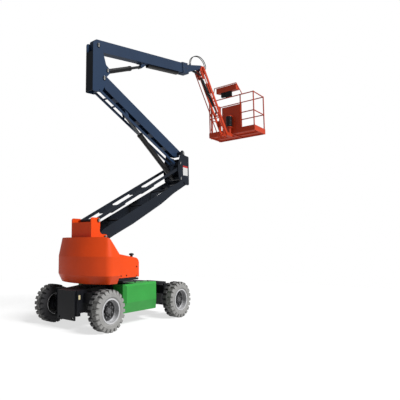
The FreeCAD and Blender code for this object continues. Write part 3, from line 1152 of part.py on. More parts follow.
hoop = [V(x0, HOOP_Y[0] - 190.0, RAIL_TOP), V(x0, HOOP_Y[0], HOOP_Z), V(x0, HOOP_Y[1], HOOP_Z),
    V(x0, HOOP_Y[1] + 90.0, RAIL_TOP)]
back_frame = end_frame(x0, (-yr, -half + 445.0, yr))
for a, b in zip(hoop[:-1], hoop[1:]):
    back_frame.append(bar(a, b, RAIL_R - 3.0))
for point in hoop[1:-1]:
    back_frame.append(Part.makeSphere(RAIL_R - 3.0, point))
save("rails_back", [join(back_frame)])
save("rails_front", [join(end_frame(x1, (-yr, 0.0, yr)))])
solids = [side_rail(x0, x1, -yr, z, (x0, x1)) for z in rail_levels]
for xa, xb, corner in ((x0, hinge_x, x0), (latch_x, x1, x1)):
    own = latch_x if xa == latch_x else hinge_x
    rails = [side_rail(xa, xb, yr, z, (corner,)) for z in rail_levels]
    solids.append(join(rails + [post(own, yr)]))
save("rails_side", solids)

toe = []
for a, b, c, d in (
    (PLATFORM_FRONT - TOE_T, PLATFORM_FRONT, -half, half), (PLATFORM_BACK, PLATFORM_FRONT, -half,
    -half + TOE_T),
    (GATE_X[1] + 50.0, PLATFORM_FRONT, half - TOE_T, half), (PLATFORM_BACK, PLATFORM_BACK + TOE_T, -half, half),
):
    toe.append(box(a, b, c, d, floor_top, TOE_TOP))
holes = []
for y in (-520.0, -240.0, 240.0, 520.0):
    hole = Part.makeCylinder(14.0, 30.0, V(PLATFORM_FRONT - 20.0, y, (floor_top + TOE_TOP) / 2.0), V(1, 0, 0))
    holes.append(hole)
toe = [less(join(toe), holes)]
save("toe_boards", toe)

back = box(PLATFORM_BACK, PLATFORM_BACK + PANEL_T, PANEL_Y[0], PANEL_Y[1], TOE_TOP, PANEL_TOP)
save("platform_panel", [back])

desk_y = (HOOP_Y[0] + 12.0, HOOP_Y[1] - 60.0)
desk = side_plate([
    (x0 + 2.0, HOOP_Z - 200.0), (x0 + 2.0, HOOP_Z - 22.0), (x0 + 60.0, HOOP_Z - 8.0),
    (x0 + 235.0, HOOP_Z - 95.0),
    (x0 + 235.0, HOOP_Z - 165.0),
], *desk_y)
save("console", [desk])

gate_y = yr
gate = []
gx0, gx1 = GATE_X[0] + 22.0, GATE_X[1] - 4.0
levels = (floor_top + 60.0, RAIL_MID, RAIL_TOP)
for z in levels:
    gate.append(bar(V(gx0, gate_y, z), V(gx1, gate_y, z), GATE_R))
for x in (gx0, gx1):
    gate.append(upright(x, gate_y, levels[0] - GATE_R, levels[-1] + GATE_R, GATE_R + 1.5))
for z in (levels[0] + 160.0, levels[-1] - 260.0):
    gate.append(upright(hinge_x, gate_y, z, z + 70.0, POST_R + 7.0))
    gate.append(box(hinge_x, gx0, gate_y - 4.0, gate_y + 4.0, z + 15.0, z + 55.0))
gate = less(join(gate), [upright(hinge_x, gate_y, floor_top, RAIL_TOP, POST_R + PIN_GAP)])
save("gate", [gate])

# Cylinders
cylinder("lower_cylinder", LOWER_BASE, LOWER_ROD, "lower", PIN_R - 3.0)
cylinder("upper_cylinder", UPPER_BASE, UPPER_ROD, "upper", PIN_R - 3.0)
cylinder("boom_cylinder", BOOM_BASE, BOOM_ROD, "boom", PIN_R - 3.0)
cylinder("level_cylinder", LEVEL_BASE, LEVEL_ROD, "level", LEVEL_PIN_R)
cylinder("jib_cylinder", JIB_BASE, JIB_ROD, "jib", SMALL_PIN_R)
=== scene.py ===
import json
import math
import bmesh
import bpy
from mathutils import Matrix, Vector


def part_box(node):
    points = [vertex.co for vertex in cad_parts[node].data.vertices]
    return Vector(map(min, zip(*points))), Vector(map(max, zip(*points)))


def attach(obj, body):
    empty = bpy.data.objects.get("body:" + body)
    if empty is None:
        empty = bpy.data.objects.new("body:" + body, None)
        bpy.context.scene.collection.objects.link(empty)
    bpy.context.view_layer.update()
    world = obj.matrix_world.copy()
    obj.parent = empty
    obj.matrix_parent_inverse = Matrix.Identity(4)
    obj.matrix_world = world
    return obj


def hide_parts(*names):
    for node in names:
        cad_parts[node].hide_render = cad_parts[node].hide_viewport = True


# Metres throughout, and degrees where a value is turned into radians
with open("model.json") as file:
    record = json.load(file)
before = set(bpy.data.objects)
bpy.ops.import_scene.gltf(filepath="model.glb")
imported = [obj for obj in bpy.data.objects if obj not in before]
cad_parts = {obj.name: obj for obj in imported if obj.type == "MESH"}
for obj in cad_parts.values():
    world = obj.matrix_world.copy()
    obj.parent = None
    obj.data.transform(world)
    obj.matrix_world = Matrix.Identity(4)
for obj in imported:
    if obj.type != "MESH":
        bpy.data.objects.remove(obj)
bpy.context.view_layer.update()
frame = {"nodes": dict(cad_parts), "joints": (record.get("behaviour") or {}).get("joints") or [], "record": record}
NODES = frame["nodes"]
BODY_OF = {node: body for body, nodes in frame["record"]["behaviour"]["bodies"].items() for node in nodes}
SLOT_OF = {part["node"]: part["material_slot"] for part in frame["record"]["subparts"]}
JOINTS = {joint["name"]: joint for joint in frame["joints"]}

X = Vector((1.0, 0.0, 0.0))
Y = Vector((0.0, 1.0, 0.0))
Z = Vector((0.0, 0.0, 1.0))
SIDES = (-1, 1)
HANDS = ((1, "left"), (-1, "right"))

scene = bpy.context.scene
scene.view_settings.view_transform = "Standard"


# Camera: lens in pixels of the 400 pixel frame, place, heading from +X and rise
FRAME_PIXELS = 400.0
LENS_PIXELS = 418.4
SENSOR_MM = 36.0
LENS_SHIFT = 0.1875
CAMERA_AT = (-6.378, -6.038, 1.529)
CAMERA_HEADING = 42.332
CAMERA_RISE = 6.008
CAMERA_REACH = 100.0


def place_camera():
    data = bpy.data.cameras.new("photo_camera")
    camera = bpy.data.objects.new("photo_camera", data)
    scene.collection.objects.link(camera)
    data.sensor_width = SENSOR_MM
    data.lens = SENSOR_MM * LENS_PIXELS / FRAME_PIXELS
    data.shift_x = LENS_SHIFT
    data.clip_end = CAMERA_REACH
    yaw = math.radians(CAMERA_HEADING)
    pitch = math.radians(CAMERA_RISE)
    right = Vector((math.sin(yaw), -math.cos(yaw), 0.0))
    ahead = Vector((math.cos(yaw) * math.cos(pitch), math.sin(yaw) * math.cos(pitch), math.sin(pitch)))
    turn = Matrix((right, right.cross(ahead), -ahead)).transposed().to_4x4()
    camera.matrix_world = Matrix.Translation(CAMERA_AT) @ turn
    scene.camera = camera


place_camera()


# Materials
BROAD_DETAIL = 4.0
FINE_DETAIL = 3.0
DRIFT_STOPS = (0.3, 0.7)
RELIEF_STRENGTH = 0.4
COAT_ROUGH = 0.12


class Graph:
    """Node tree of a material, with short calls for the nodes that a surface needs."""

    def __init__(self, name, grain):
        self.mat = bpy.data.materials.new(name)
        self.mat.use_nodes = True
        self.nodes = self.mat.node_tree.nodes
        self.links = self.mat.node_tree.links
        self.shader = self.nodes["Principled BSDF"]
        coordinates = self.nodes.new("ShaderNodeTexCoord")
        self.place = coordinates.outputs["Object"]
        self.normal = coordinates.outputs["Normal"]
        self.fine = self.noise(grain, FINE_DETAIL)

    def noise(self, scale, detail):
        tex = self.nodes.new("ShaderNodeTexNoise")
        tex.inputs["Scale"].default_value = scale
        tex.inputs["Detail"].default_value = detail
        self.links.new(self.place, tex.inputs["Vector"])
        return tex.outputs["Fac"]

    def axis(self, vector, letter):
        split = self.nodes.new("ShaderNodeSeparateXYZ")
        self.links.new(vector, split.inputs[0])
        return split.outputs[letter]

    def calc(self, operation, value, other=None):
        """Math node on a socket and a number or a second socket."""
        step = self.nodes.new("ShaderNodeMath")
        step.operation = operation
        self.links.new(value, step.inputs[0])
        if isinstance(other, float):
            step.inputs[1].default_value = other
        elif other is not None:
            self.links.new(other, step.inputs[1])
        return step.outputs[0]

    def span(self, value, start, end, low=0.0, high=1.0):
        """Takes the stretch from start to end onto low to high."""
        step = self.nodes.new("ShaderNodeMapRange")
        for word, number in (("From Min", start), ("From Max", end), ("To Min", low), ("To Max", high)):
            step.inputs[word].default_value = number
        self.links.new(value, step.inputs["Value"])
        return step.outputs["Result"]

    def blend(self, tint, share, colour):
        """Lays a colour over a tint by a share from 0 to 1."""
        mix = self.nodes.new("ShaderNodeMix")
        mix.data_type = "RGBA"
        self.links.new(share, mix.inputs["Factor"])
        self.links.new(tint, mix.inputs["A"])
        mix.inputs["B"].default_value = (*colour, 1)
        return mix.outputs["Result"]


# Wheels' axles, and the middle of a tyre's width
WHEEL_X = abs(JOINTS["wheel_steer_left"]["pos_m"][0])
WHEEL_Y = sum(corner.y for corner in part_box("tyre_steer_left")) / 2.0
WHEEL_Z = JOINTS["wheel_steer_left"]["pos_m"][2]


def off_axle(start, full):
    """Share that grows with the distance from the wheel's axle, from start to full."""
    def share(graph):
        x = graph.calc("SUBTRACT", graph.calc("ABSOLUTE", graph.axis(graph.place, "X")), WHEEL_X)
        z = graph.calc("SUBTRACT", graph.axis(graph.place, "Z"), WHEEL_Z)
        squares = [graph.calc("POWER", value, 2.0) for value in (x, z)]
        return graph.span(graph.calc("SQRT", graph.calc("ADD", *squares)), start, full)
    return share


def painted_shade_inner_half(depth):
    """Share that grows inwards from the middle of the tyre's width, over a depth; it lays painted shade on the
    tyre's inner wall.
    """
    def share(graph):
        return graph.span(graph.calc("ABSOLUTE", graph.axis(graph.place, "Y")), WHEEL_Y, WHEEL_Y - depth)
    return share


def faces_aside(limit):
    """Share of 1 on faces whose normal looks sideways by more than a limit."""
    def share(graph):
        return graph.calc("GREATER_THAN", graph.calc("ABSOLUTE", graph.axis(graph.normal, "Y")), limit)
    return share


def near_ground(most, top):
    """Share that grows from a height down to the ground, broken up by the grain."""
    def share(graph):
        return graph.calc("MULTIPLY", graph.span(graph.axis(graph.place, "Z"), top, 0.0, 0.0, most), graph.fine)
    return share


def surface(name, colour, dark=0.8, rough=(0.3, 0.5), scale=3.0, grain=60.0, bump=0.0002, metal=0.0, coat=0.0,
            spec=0.5, layers=()):
    """Paint, plastic, rubber or metal: broad drift of the colour, uneven gloss and fine relief.

    bump is the relief's depth, and each layer is a share over the surface with its colour; some layers are painted
    shade.
    """
    graph = Graph(name, grain)
    ramp = graph.nodes.new("ShaderNodeValToRGB")
    for stop, place, share in zip(ramp.color_ramp.elements, DRIFT_STOPS, (dark, 1.0)):
        stop.position = place
        stop.color = (*(part * share for part in colour), 1)
    graph.links.new(graph.noise(scale, BROAD_DETAIL), ramp.inputs["Fac"])
    tint = ramp.outputs["Color"]
    for share, other in layers:
        tint = graph.blend(tint, share(graph), other)
    shader = graph.shader.inputs
    graph.links.new(tint, shader["Base Color"])
    graph.links.new(graph.span(graph.fine, 0.0, 1.0, *rough), shader["Roughness"])
    relief = graph.nodes.new("ShaderNodeBump")
    relief.inputs["Strength"].default_value = RELIEF_STRENGTH
    relief.inputs["Distance"].default_value = bump
    graph.links.new(graph.fine, relief.inputs["Height"])
    graph.links.new(relief.outputs["Normal"], shader["Normal"])
    shader["Metallic"].default_value = metal
    shader["Specular IOR Level"].default_value = spec
    if coat:
        shader["Coat Weight"].default_value = coat
        shader["Coat Roughness"].default_value = COAT_ROUGH
    return graph.mat


ORANGE_TINT = (0.55, 0.045, 0.0015)
BLUE_TINT = (0.0105, 0.025, 0.056)
NAVY_TINT = (0.0055, 0.0085, 0.0145)
DUST_TINT = (0.2, 0.19, 0.17)
# Painted shade: the inner half of each tyre's wall is darkened as if the machine shaded it
INNER_WALL_PAINTED_SHADE = (0.022, 0.022, 0.024)
TREAD_TINT = (0.050, 0.050, 0.050)
# Painted shade: the middle of each rim, its deep dish, is darkened as if shaded
HUB_PAINTED_SHADE = (0.012, 0.012, 0.013)
ORANGE = surface("paint_orange", ORANGE_TINT, dark=0.88, rough=(0.3, 0.45), scale=1.6, coat=0.05, spec=0.25)
WEIGHT = surface("paint_cast_orange", ORANGE_TINT, dark=0.86, rough=(0.38, 0.55), scale=2.2, grain=90.0,
                 bump=0.001, coat=0.03, spec=0.25)
GREEN = surface("paint_green", (0.018, 0.215, 0.030), dark=0.86, rough=(0.35, 0.5), coat=0.04, spec=0.3)
BLUE = surface("paint_slate_blue", BLUE_TINT, dark=0.84, rough=(0.35, 0.5), scale=2.0, coat=0.03, spec=0.25)
NAVY = surface("paint_navy", NAVY_TINT, dark=0.78, rough=(0.38, 0.52), scale=2.5, spec=0.25)
# Top knuckle: blue on the faces that look sideways, and the darker navy on the other faces as painted shade
TOP_KNUCKLE_PAINTED_SHADE = surface("paint_blue_with_painted_shade", NAVY_TINT, dark=0.78, rough=(0.38, 0.52), scale=2.5, spec=0.2,
              layers=((faces_aside(0.7), BLUE_TINT),))
ZINC = surface("pin_zinc", (0.42, 0.42, 0.40), dark=0.85, rough=(0.25, 0.4), metal=0.5)
BLACK = surface("paint_black", (0.0045, 0.005, 0.0075), dark=0.7, rough=(0.42, 0.6), spec=0.22,
                layers=((near_ground(0.04, 0.5), DUST_TINT),))
JIB = surface("paint_orange_red", (0.42, 0.036, 0.009), dark=0.82, rough=(0.32, 0.48), coat=0.04, spec=0.3)
# Tyre: darker tread on the rolling face, and painted shade over the inner half of the wall
TYRE = surface("tyre_rubber", (0.205, 0.203, 0.197), rough=(0.7, 0.9), scale=9.0, grain=120.0, bump=0.0035, spec=0.2,
               layers=((painted_shade_inner_half(0.05), INNER_WALL_PAINTED_SHADE), (off_axle(0.345, 0.385), TREAD_TINT)))
# Rim: silver, with painted shade over the deep dish in the middle
RIM = surface("rim_silver", (0.42, 0.42, 0.43), dark=0.75, scale=8.0, metal=0.3,
              layers=((off_axle(0.185, 0.165), HUB_PAINTED_SHADE),))
GLOSS = surface("cylinder_black", (0.006, 0.006, 0.007), rough=(0.25, 0.4), coat=0.1, spec=0.3)
CHROME = surface("rod_chrome", (0.10, 0.105, 0.11), dark=0.9, rough=(0.16, 0.26), bump=0.00005, metal=1.0)
GRATE = surface("grate_red", (0.16, 0.014, 0.006), dark=0.6, rough=(0.5, 0.7), scale=12.0, spec=0.2)
STEEL = surface("steel_grey", (0.12, 0.12, 0.125), rough=(0.35, 0.5), metal=0.7)
RUBBER = surface("hose_rubber", (0.003, 0.003, 0.0033), dark=0.7, rough=(0.6, 0.8), grain=150.0, bump=0.0005,
                 spec=0.12)
PLASTIC = surface("black_plastic", (0.007, 0.007, 0.008), dark=0.85, rough=(0.45, 0.6), grain=200.0, bump=0.0006,
                  spec=0.25)
WHITE = surface("sign_white", (0.45, 0.45, 0.44), dark=0.93, rough=(0.35, 0.5))
RED = surface("sign_red", (0.33, 0.012, 0.012), dark=0.9, rough=(0.35, 0.5))
CREAM = surface("reflector_cream", (0.46, 0.40, 0.24), dark=0.9, rough=(0.15, 0.3), coat=0.3)

SLOT_PAINT = {
    "chassis_black": BLACK, "body_orange": ORANGE, "weight_iron": WEIGHT, "box_green": GREEN, "boom_blue": BLUE,
    "riser_navy": NAVY, "jib_orange": JIB, "tyre_rubber": TYRE, "rim_silver": RIM, "cylinder_black": GLOSS,
    "rod_chrome": CHROME, "hose_rubber": RUBBER, "steel_grey": STEEL,
}
NODE_PAINT = {"top_knuckle": TOP_KNUCKLE_PAINTED_SHADE, "upper_link": BLUE}
for node, obj in NODES.items():
    obj.data.materials.clear()
    obj.data.materials.append(NODE_PAINT.get(node, SLOT_PAINT[SLOT_OF[node]]))


# Cords: the hose arch over the nose, its route as x and z
HOSE_D = 0.020
HOSE_Y = 0.020
HOSE_ROUTE = (
    (2.862, 6.375), (2.872, 6.475), (2.960, 6.600), (3.115, 6.695), (3.300, 6.742),
    (3.470, 6.722), (3.597, 6.645), (3.653, 6.538), (3.607, 6.4392), (3.5005, 6.4212),
)


def hose(name, node, points, diameter):
    curve = bpy.data.curves.new(name, "CURVE")
    curve.dimensions = "3D"
    curve.bevel_depth = diameter / 2.0
    curve.bevel_resolution = 6
    curve.use_fill_caps = True
    spline = curve.splines.new("NURBS")
    spline.points.add(len(points) - 1)
    for target, point in zip(spline.points, points):
        target.co = (*point, 1.0)
    spline.order_u = 3
    spline.use_endpoint_u = True
    spline.resolution_u = 12
    obj = bpy.data.objects.new(name, curve)
    scene.collection.objects.link(obj)
    curve.materials.append(RUBBER)
    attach(obj, "fly_boom")
    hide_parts(node)


for side, hand in HANDS:
    hose("hose_arch_" + hand, "nose_hose_" + hand, [(x, side * HOSE_Y, z) for x, z in HOSE_ROUTE], HOSE_D)


# Pieces in mesh code
SUNK = 0.001             # how far a fitting is let into what carries it
WASHER_T = 0.003
BOLT_CHAMFER = 0.003
FINE_EDGE = 0.0008       # bevel of small fittings
EDGE_ANGLE = 40.0


def add_rod(bm, a, b, r, end_r=None, seg=24):
    """Round bar or cone from a to b."""
    a = Vector(a)
    b = Vector(b)
    line = b - a
    place = Matrix.Translation((a + b) / 2.0) @ line.to_track_quat("Z", "Y").to_matrix().to_4x4()
    bmesh.ops.create_cone(bm, cap_ends=True, segments=seg, radius1=r, radius2=r if end_r is None else end_r,
                          depth=line.length, matrix=place)


def add_stack(bm, seat, out, profile, seg=24):
    """Cones on one line from a seat outwards, through heights with their radii."""
    for (h0, r0), (h1, r1) in zip(profile, profile[1:]):
        add_rod(bm, seat + out * h0, seat + out * h1, r0, r1, seg)


def add_block(bm, corner, other):
    """Box between two opposite corners."""
    low = Vector([min(pair) for pair in zip(corner, other)])
    high = Vector([max(pair) for pair in zip(corner, other)])
    place = Matrix.Translation((low + high) / 2.0) @ Matrix.Diagonal((*(high - low), 1.0))
    bmesh.ops.create_cube(bm, size=1.0, matrix=place)


def add_bolt(bm, seat, out, flats=0.024, high=0.012):
    """Hexagon head with a chamfered top on a washer."""
    r = flats / math.sqrt(3.0)
    add_rod(bm, seat - out * SUNK, seat + out * WASHER_T, flats * 0.85, seg=20)
    add_rod(bm, seat + out * WASHER_T, seat + out * (high - BOLT_CHAMFER), r, seg=6)
    add_rod(bm, seat + out * (high - BOLT_CHAMFER), seat + out * high, r, r * 0.84, seg=6)


def add_ring(bm, centre, axis, r, tube, seg=48, sides=8):
    """Closed round ring about an axis."""
    turn = axis.to_track_quat("Z", "Y").to_matrix()
    loops = []
    for i in range(seg):
        a = 2.0 * math.pi * i / seg
        spoke = Vector((math.cos(a), math.sin(a), 0.0))
        ring = []
        for k in range(sides):
            b = 2.0 * math.pi * k / sides
            point = spoke * (r + tube * math.cos(b)) + Z * (tube * math.sin(b))
            ring.append(bm.verts.new(centre + turn @ point))
        loops.append(ring)
    for i in range(seg):
        for k in range(sides):
            a, b = loops[i], loops[(i + 1) % seg]
            bm.faces.new((a[k], b[k], b[(k + 1) % sides], a[(k + 1) % sides]))


def round_circle(centre, across, up, r, count, shift=0.0):
    """Points on a circle, spread evenly from a shift in steps."""
    for i in range(count):
        a = 2.0 * math.pi * (i + shift) / count
        yield centre + (across * math.cos(a) + up * math.sin(a)) * r


def piece(name, bm, mat, body, edge=0.0015):
    """Turns a finished mesh into a piece that rides on a body."""
    bmesh.ops.recalc_face_normals(bm, faces=bm.faces)
    mesh = bpy.data.meshes.new(name)
    bm.to_mesh(mesh)
    bm.free()
    obj = bpy.data.objects.new(name, mesh)
    scene.collection.objects.link(obj)
    mesh.materials.append(mat)
    if edge:
        bevel = obj.modifiers.new("edge", "BEVEL")
        bevel.width = edge
        bevel.segments = 2
        bevel.limit_method = "ANGLE"
        bevel.angle_limit = math.radians(EDGE_ANGLE)
    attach(obj, body)


def box_of(node):
    low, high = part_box(node)
    return low, high, (low + high) / 2.0


def joint_at(name):
    return Vector(JOINTS[name]["pos_m"])


# Wheels: distances outwards are from the middle of the tyre's width
STUDS = 8
STUD_CIRCLE = 0.118
STUD_SIZE = (0.030, 0.022)
DISC_OUT = 0.020
HUB_BOLTS = 6
HUB_CIRCLE = 0.068
HUB_BOLT_SIZE = (0.014, 0.008)
HUB_OUT = 0.052
HUB_COVER = ((-SUNK, 0.052), (0.012, 0.044))
WALL_OUT = 0.1135
WALL_RIBS = (0.246, 0.272)
WALL_RIB_R = 0.004


def dress_wheel(word, out):
    """Studs, hub cover and the ribs on the tyre's outer wall."""
    _, _, middle = box_of("tyre_" + word)
    body = "wheel_" + word
    bm = bmesh.new()
    for seat in round_circle(middle + out * DISC_OUT, X, Z, STUD_CIRCLE, STUDS, 0.5):
        add_bolt(bm, seat, out, *STUD_SIZE)
    piece("studs_" + word, bm, STEEL, body, edge=FINE_EDGE)
    bm = bmesh.new()
    hub = middle + out * HUB_OUT
    add_stack(bm, hub, out, HUB_COVER, seg=36)
    for seat in round_circle(hub, X, Z, HUB_CIRCLE, HUB_BOLTS):
        add_bolt(bm, seat, out, *HUB_BOLT_SIZE)
    piece("hub_cover_" + word, bm, STEEL, body, edge=FINE_EDGE)
    bm = bmesh.new()
    for r in WALL_RIBS:
        add_ring(bm, middle + out * WALL_OUT, out, r, WALL_RIB_R, seg=72, sides=6)
    piece("wall_ribs_" + word, bm, TYRE, body, edge=0.0)


# Pins that end outside their plates: the plates' outer faces, then each pin's joint and the radius of its caps
PLATES_OUT = {"turntable": 0.288, "mid_knuckle": 0.226, "top_knuckle": 0.104}
PIN_CAPS = {
    "turntable": (("lower_lift", 0.046), ("lower_link_turn", 0.036), ("lower_barrel_turn", 0.040)),
    "mid_knuckle": (("mid_knuckle_turn", 0.050), ("upper_lift", 0.048), ("upper_link_turn", 0.036),
                    ("upper_barrel_turn", 0.040)),
    "top_knuckle": (("top_knuckle_turn", 0.048), ("boom_lift", 0.048), ("boom_barrel_turn", 0.040)),
}
CAP_T = 0.010
CAP_TAPER = 0.94
KEEPER_HALF = 0.013
KEEPER_REACH = 0.85      # share of the cap's radius, as the bolt's place
KEEPER_BOLT_UP = 0.45
KEEPER_T = 0.005
KEEPER_BOLT_SIZE = (0.014, 0.008)


def pin_ends(body):
    """Radius of the cap, seat and way out, for both ends of each pin in a body."""
    for name, r in PIN_CAPS[body]:
        x, _, z = JOINTS[name]["pos_m"]
        for side in SIDES:
            yield r, Vector((x, side * PLATES_OUT[body], z)), Y * side


def dress_pins():
    """Caps, then keeper plates with their bolts."""
    for body in PIN_CAPS:
        bm = bmesh.new()
        for r, seat, out in pin_ends(body):
            add_stack(bm, seat, out, ((-2.0 * SUNK, r), (CAP_T, r * CAP_TAPER)), seg=32)
        piece("pin_caps_" + body, bm, BLACK if body == "turntable" else NAVY, body)
    for body in PIN_CAPS:
        bm = bmesh.new()
        for r, seat, out in pin_ends(body):
            corner = X * KEEPER_HALF + Z * (r * KEEPER_REACH)
            top = seat + out * (CAP_T + KEEPER_T)
            add_block(bm, seat + out * (CAP_T - SUNK) - corner, top + corner)
            add_bolt(bm, top + Z * (r * KEEPER_BOLT_UP), out, *KEEPER_BOLT_SIZE)
        piece("pin_keepers_" + body, bm, ZINC, body, edge=FINE_EDGE)


# Plain sign on the near plate of the middle knuckle, with a band along its top
SIGN_X = (2.13, 2.33)
SIGN_Z = (3.22, 3.46)
SIGN_BAND = 0.045
SIGN_T = 0.002
SIGN_EDGE = 0.0004


def dress_sign():
    near = -PLATES_OUT["mid_knuckle"]
    seam = SIGN_Z[1] - SIGN_BAND
    fields = (("knuckle_sign", WHITE, SIGN_Z[0], seam), ("knuckle_sign_band", RED, seam, SIGN_Z[1]))
    for name, mat, z0, z1 in fields:
        bm = bmesh.new()
        add_block(bm, (SIGN_X[0], near - SIGN_T, z0), (SIGN_X[1], near + SUNK, z1))
        piece(name, bm, mat, "mid_knuckle", edge=SIGN_EDGE)


# Covers: screws on the outer faces as x and z, and the cap over the near one
HOOD_OUT = 0.700
HOOD_SCREWS = ((-0.628, 0.941), (-0.476, 0.942), (-0.188, 1.098), (-0.189, 0.917))
HOOD_SCREW_SIZE = (0.014, 0.008)
HOOD_WASHER_R = 0.013
HOOD_WASHER_T = 0.004
HOOD_CAP_AT = Vector((-0.270, -0.640, 1.300))
HOOD_CAP_NECK = ((-0.024, 0.026), (0.018, 0.026))
HOOD_CAP_PROFILE = (
    (0.016, 0.040), (0.022, 0.047), (0.036, 0.047), (0.047, 0.040), (0.054, 0.026), (0.056, 0.004),
)


def dress_covers():
    for side, hand in HANDS:
        out = Y * side
        bm = bmesh.new()
        for x, z in HOOD_SCREWS:
            seat = Vector((x, side * HOOD_OUT, z))
            add_rod(bm, seat, seat + out * HOOD_WASHER_T, HOOD_WASHER_R, seg=20)
            add_bolt(bm, seat + out * HOOD_WASHER_T, out, *HOOD_SCREW_SIZE)
        piece("hood_screws_" + hand, bm, PLASTIC, "hood_" + hand, edge=0.0)
    bm = bmesh.new()
    add_stack(bm, HOOD_CAP_AT, Z, HOOD_CAP_NECK, seg=28)
    add_stack(bm, HOOD_CAP_AT, Z, HOOD_CAP_PROFILE, seg=36)
    piece("hood_cap", bm, PLASTIC, "hood_right", edge=0.0)


# Underframe: reflectors behind the end plates, knobs and hinge straps on the side boxes
REFLECTOR_X = (1.246, 1.288)
REFLECTOR_Y = (0.271, 0.275)
REFLECTOR_Z = (0.536, 0.612)
BOX_TOP = 0.770
KNOB_X = (-0.40, 0.0, 0.40)
KNOB_Y = 0.50
KNOB_PROFILE = ((-SUNK, 0.014), (0.014, 0.017), (0.020, 0.011))
STRAP_X = (-0.30, 0.30)
STRAP_HALF = 0.030
STRAP_Y = (0.392, 0.432)
STRAP_T = 0.004
HINGE_R = 0.006


def dress_underframe():
    bm = bmesh.new()
    for end in SIDES:
        for side in SIDES:
            corners = zip(REFLECTOR_X, REFLECTOR_Y, REFLECTOR_Z)
            add_block(bm, *((end * x, side * y, z) for x, y, z in corners))
    piece("reflectors", bm, CREAM, "chassis", edge=0.001)
    for side, hand in HANDS:
        bm = bmesh.new()
        for x in KNOB_X:
            add_stack(bm, Vector((x, side * KNOB_Y, BOX_TOP)), Z, KNOB_PROFILE)
        for x in STRAP_X:
            x0, x1 = x - STRAP_HALF, x + STRAP_HALF
            y0, y1 = side * STRAP_Y[0], side * STRAP_Y[1]
            add_block(bm, (x0, y0, BOX_TOP - SUNK), (x1, y1, BOX_TOP + STRAP_T))
            add_rod(bm, (x0, y0, BOX_TOP + HINGE_R), (x1, y0, BOX_TOP + HINGE_R), HINGE_R, seg=16)
        piece("box_latches_" + hand, bm, PLASTIC, "chassis", edge=FINE_EDGE)


# Cylinders: distance from the pin to the mouth, radius of the tube and of the rod, places of the ports as shares
CYLINDERS = {
    "lower": (2.180, 0.050, 0.030, (0.10, 0.93)),
    "upper": (1.560, 0.060, 0.033, (0.10, 0.93)),
    "boom": (0.890, 0.052, 0.030, (0.10, 0.93)),
    "level": (0.285, 0.030, 0.017, (0.35,)),
    "jib": (0.900, 0.035, 0.020, (0.10, 0.93)),
}
# Rings at the mouth: how far back, then the ring's radius and its round, both as shares of the tube's radius
GLAND_RINGS = ((0.006, 0.98, 0.09), (0.046, 1.02, 0.07))
WIPER_AHEAD = 0.002
WIPER_OFF_ROD = 0.006
WIPER_R = 0.0035
PORT_IN = 0.004
PORT_T = 0.014
PORT_R = 0.26            # share of the tube's radius, as the elbow's
ELBOW_START = 0.012
ELBOW_T = 0.022
ELBOW_R = 0.17
SLEEVE_OFF_TUBE = 0.002
SLEEVE_START = 0.11
SLEEVE_PITCH = 0.0195
SLEEVE_RIBS = 38
SLEEVE_RIB_R = 0.0055


def dress_cylinder(kind):
    """Gland and wiper at the mouth, ports on the near side and, on the jib's, a ribbed sleeve."""
    length, tube, rod, ports = CYLINDERS[kind]
    base = joint_at(kind + "_barrel_turn")
    along = Vector(JOINTS[kind + "_rod_slide"]["axis"]).normalized()
    bm = bmesh.new()
    mouth = base + along * length
    for back, share, round_share in GLAND_RINGS:
        add_ring(bm, mouth - along * back, along, tube * share, tube * round_share, seg=40)
    add_ring(bm, mouth + along * WIPER_AHEAD, along, rod + WIPER_OFF_ROD, WIPER_R, seg=32, sides=6)
    for share in ports:
        seat = base + along * (length * share) - Y * (tube - PORT_IN)
        add_rod(bm, seat, seat - Y * PORT_T, tube * PORT_R, seg=6)
        add_rod(bm, seat - Y * ELBOW_START, seat - Y * ELBOW_T, tube * ELBOW_R, seg=20)
    if kind == "jib":
        for k in range(SLEEVE_RIBS):
            rib = base + along * (SLEEVE_START + SLEEVE_PITCH * k)
            add_ring(bm, rib, along, tube + SLEEVE_OFF_TUBE, SLEEVE_RIB_R, seg=28, sides=6)
    piece(kind + "_gland", bm, GLOSS, kind + "_barrel", edge=0.0)


# Main boom: bolts round the mouth's collar, back from the mouth and off the boom's line
BOOM_TURN = math.radians(9.6)
BOOM_LENGTH = 3.357
COLLAR_OUT = 0.091
COLLAR_BACK = (0.205, 0.045)
COLLAR_OFF = (-0.095, 0.005, 0.105)
COLLAR_BOLT_SIZE = (0.019, 0.010)


def dress_collar():
    along = Vector((math.cos(BOOM_TURN), 0.0, math.sin(BOOM_TURN)))
    square = Vector((-along.z, 0.0, along.x))
    mouth = joint_at("boom_lift") + along * BOOM_LENGTH
    bm = bmesh.new()
    for side in SIDES:
        for back in COLLAR_BACK:
            for off in COLLAR_OFF:
                seat = mouth - along * back + square * off + Y * (side * (COLLAR_OUT - SUNK))
                add_bolt(bm, seat, Y * side, *COLLAR_BOLT_SIZE)
    piece("collar_bolts", bm, STEEL, "main_boom", edge=0.0)


# Console: controls on the sloping desk, whose fall is its drop per length. Profiles are heights with radii
DESK_AT = (5.235, 6.421)
DESK_FALL = 0.5
DESK_OUT = Vector((DESK_FALL, 0.0, 1.0)).normalized()
DESK_LOW = 6.265
STICK_Y = (0.02, 0.30)
STICK_FOOT = ((-0.004, 0.034), (0.010, 0.030))
STICK_SHAFT = ((0.030, 0.008), (0.088, 0.010))
STICK_GRIP = ((0.086, 0.015), (0.108, 0.012))
BELLOWS = 4
BELLOWS_START = 0.010
BELLOWS_PITCH = 0.007
BELLOWS_R = (0.026, 0.021)
BELLOWS_STEP = 0.004
SWITCH_Y = (0.10, 0.15, 0.20, 0.40, 0.45)
SWITCH_AHEAD = 0.027
SWITCH_NUT = ((-0.003, 0.010), (0.006, 0.010))
SWITCH_LEVER = ((0.005, 0.0035), (0.026, 0.005))
STOP_Y = -0.110
STOP_NECK = ((-0.004, 0.016), (0.012, 0.016))
STOP_HEAD = ((0.012, 0.026), (0.026, 0.022))
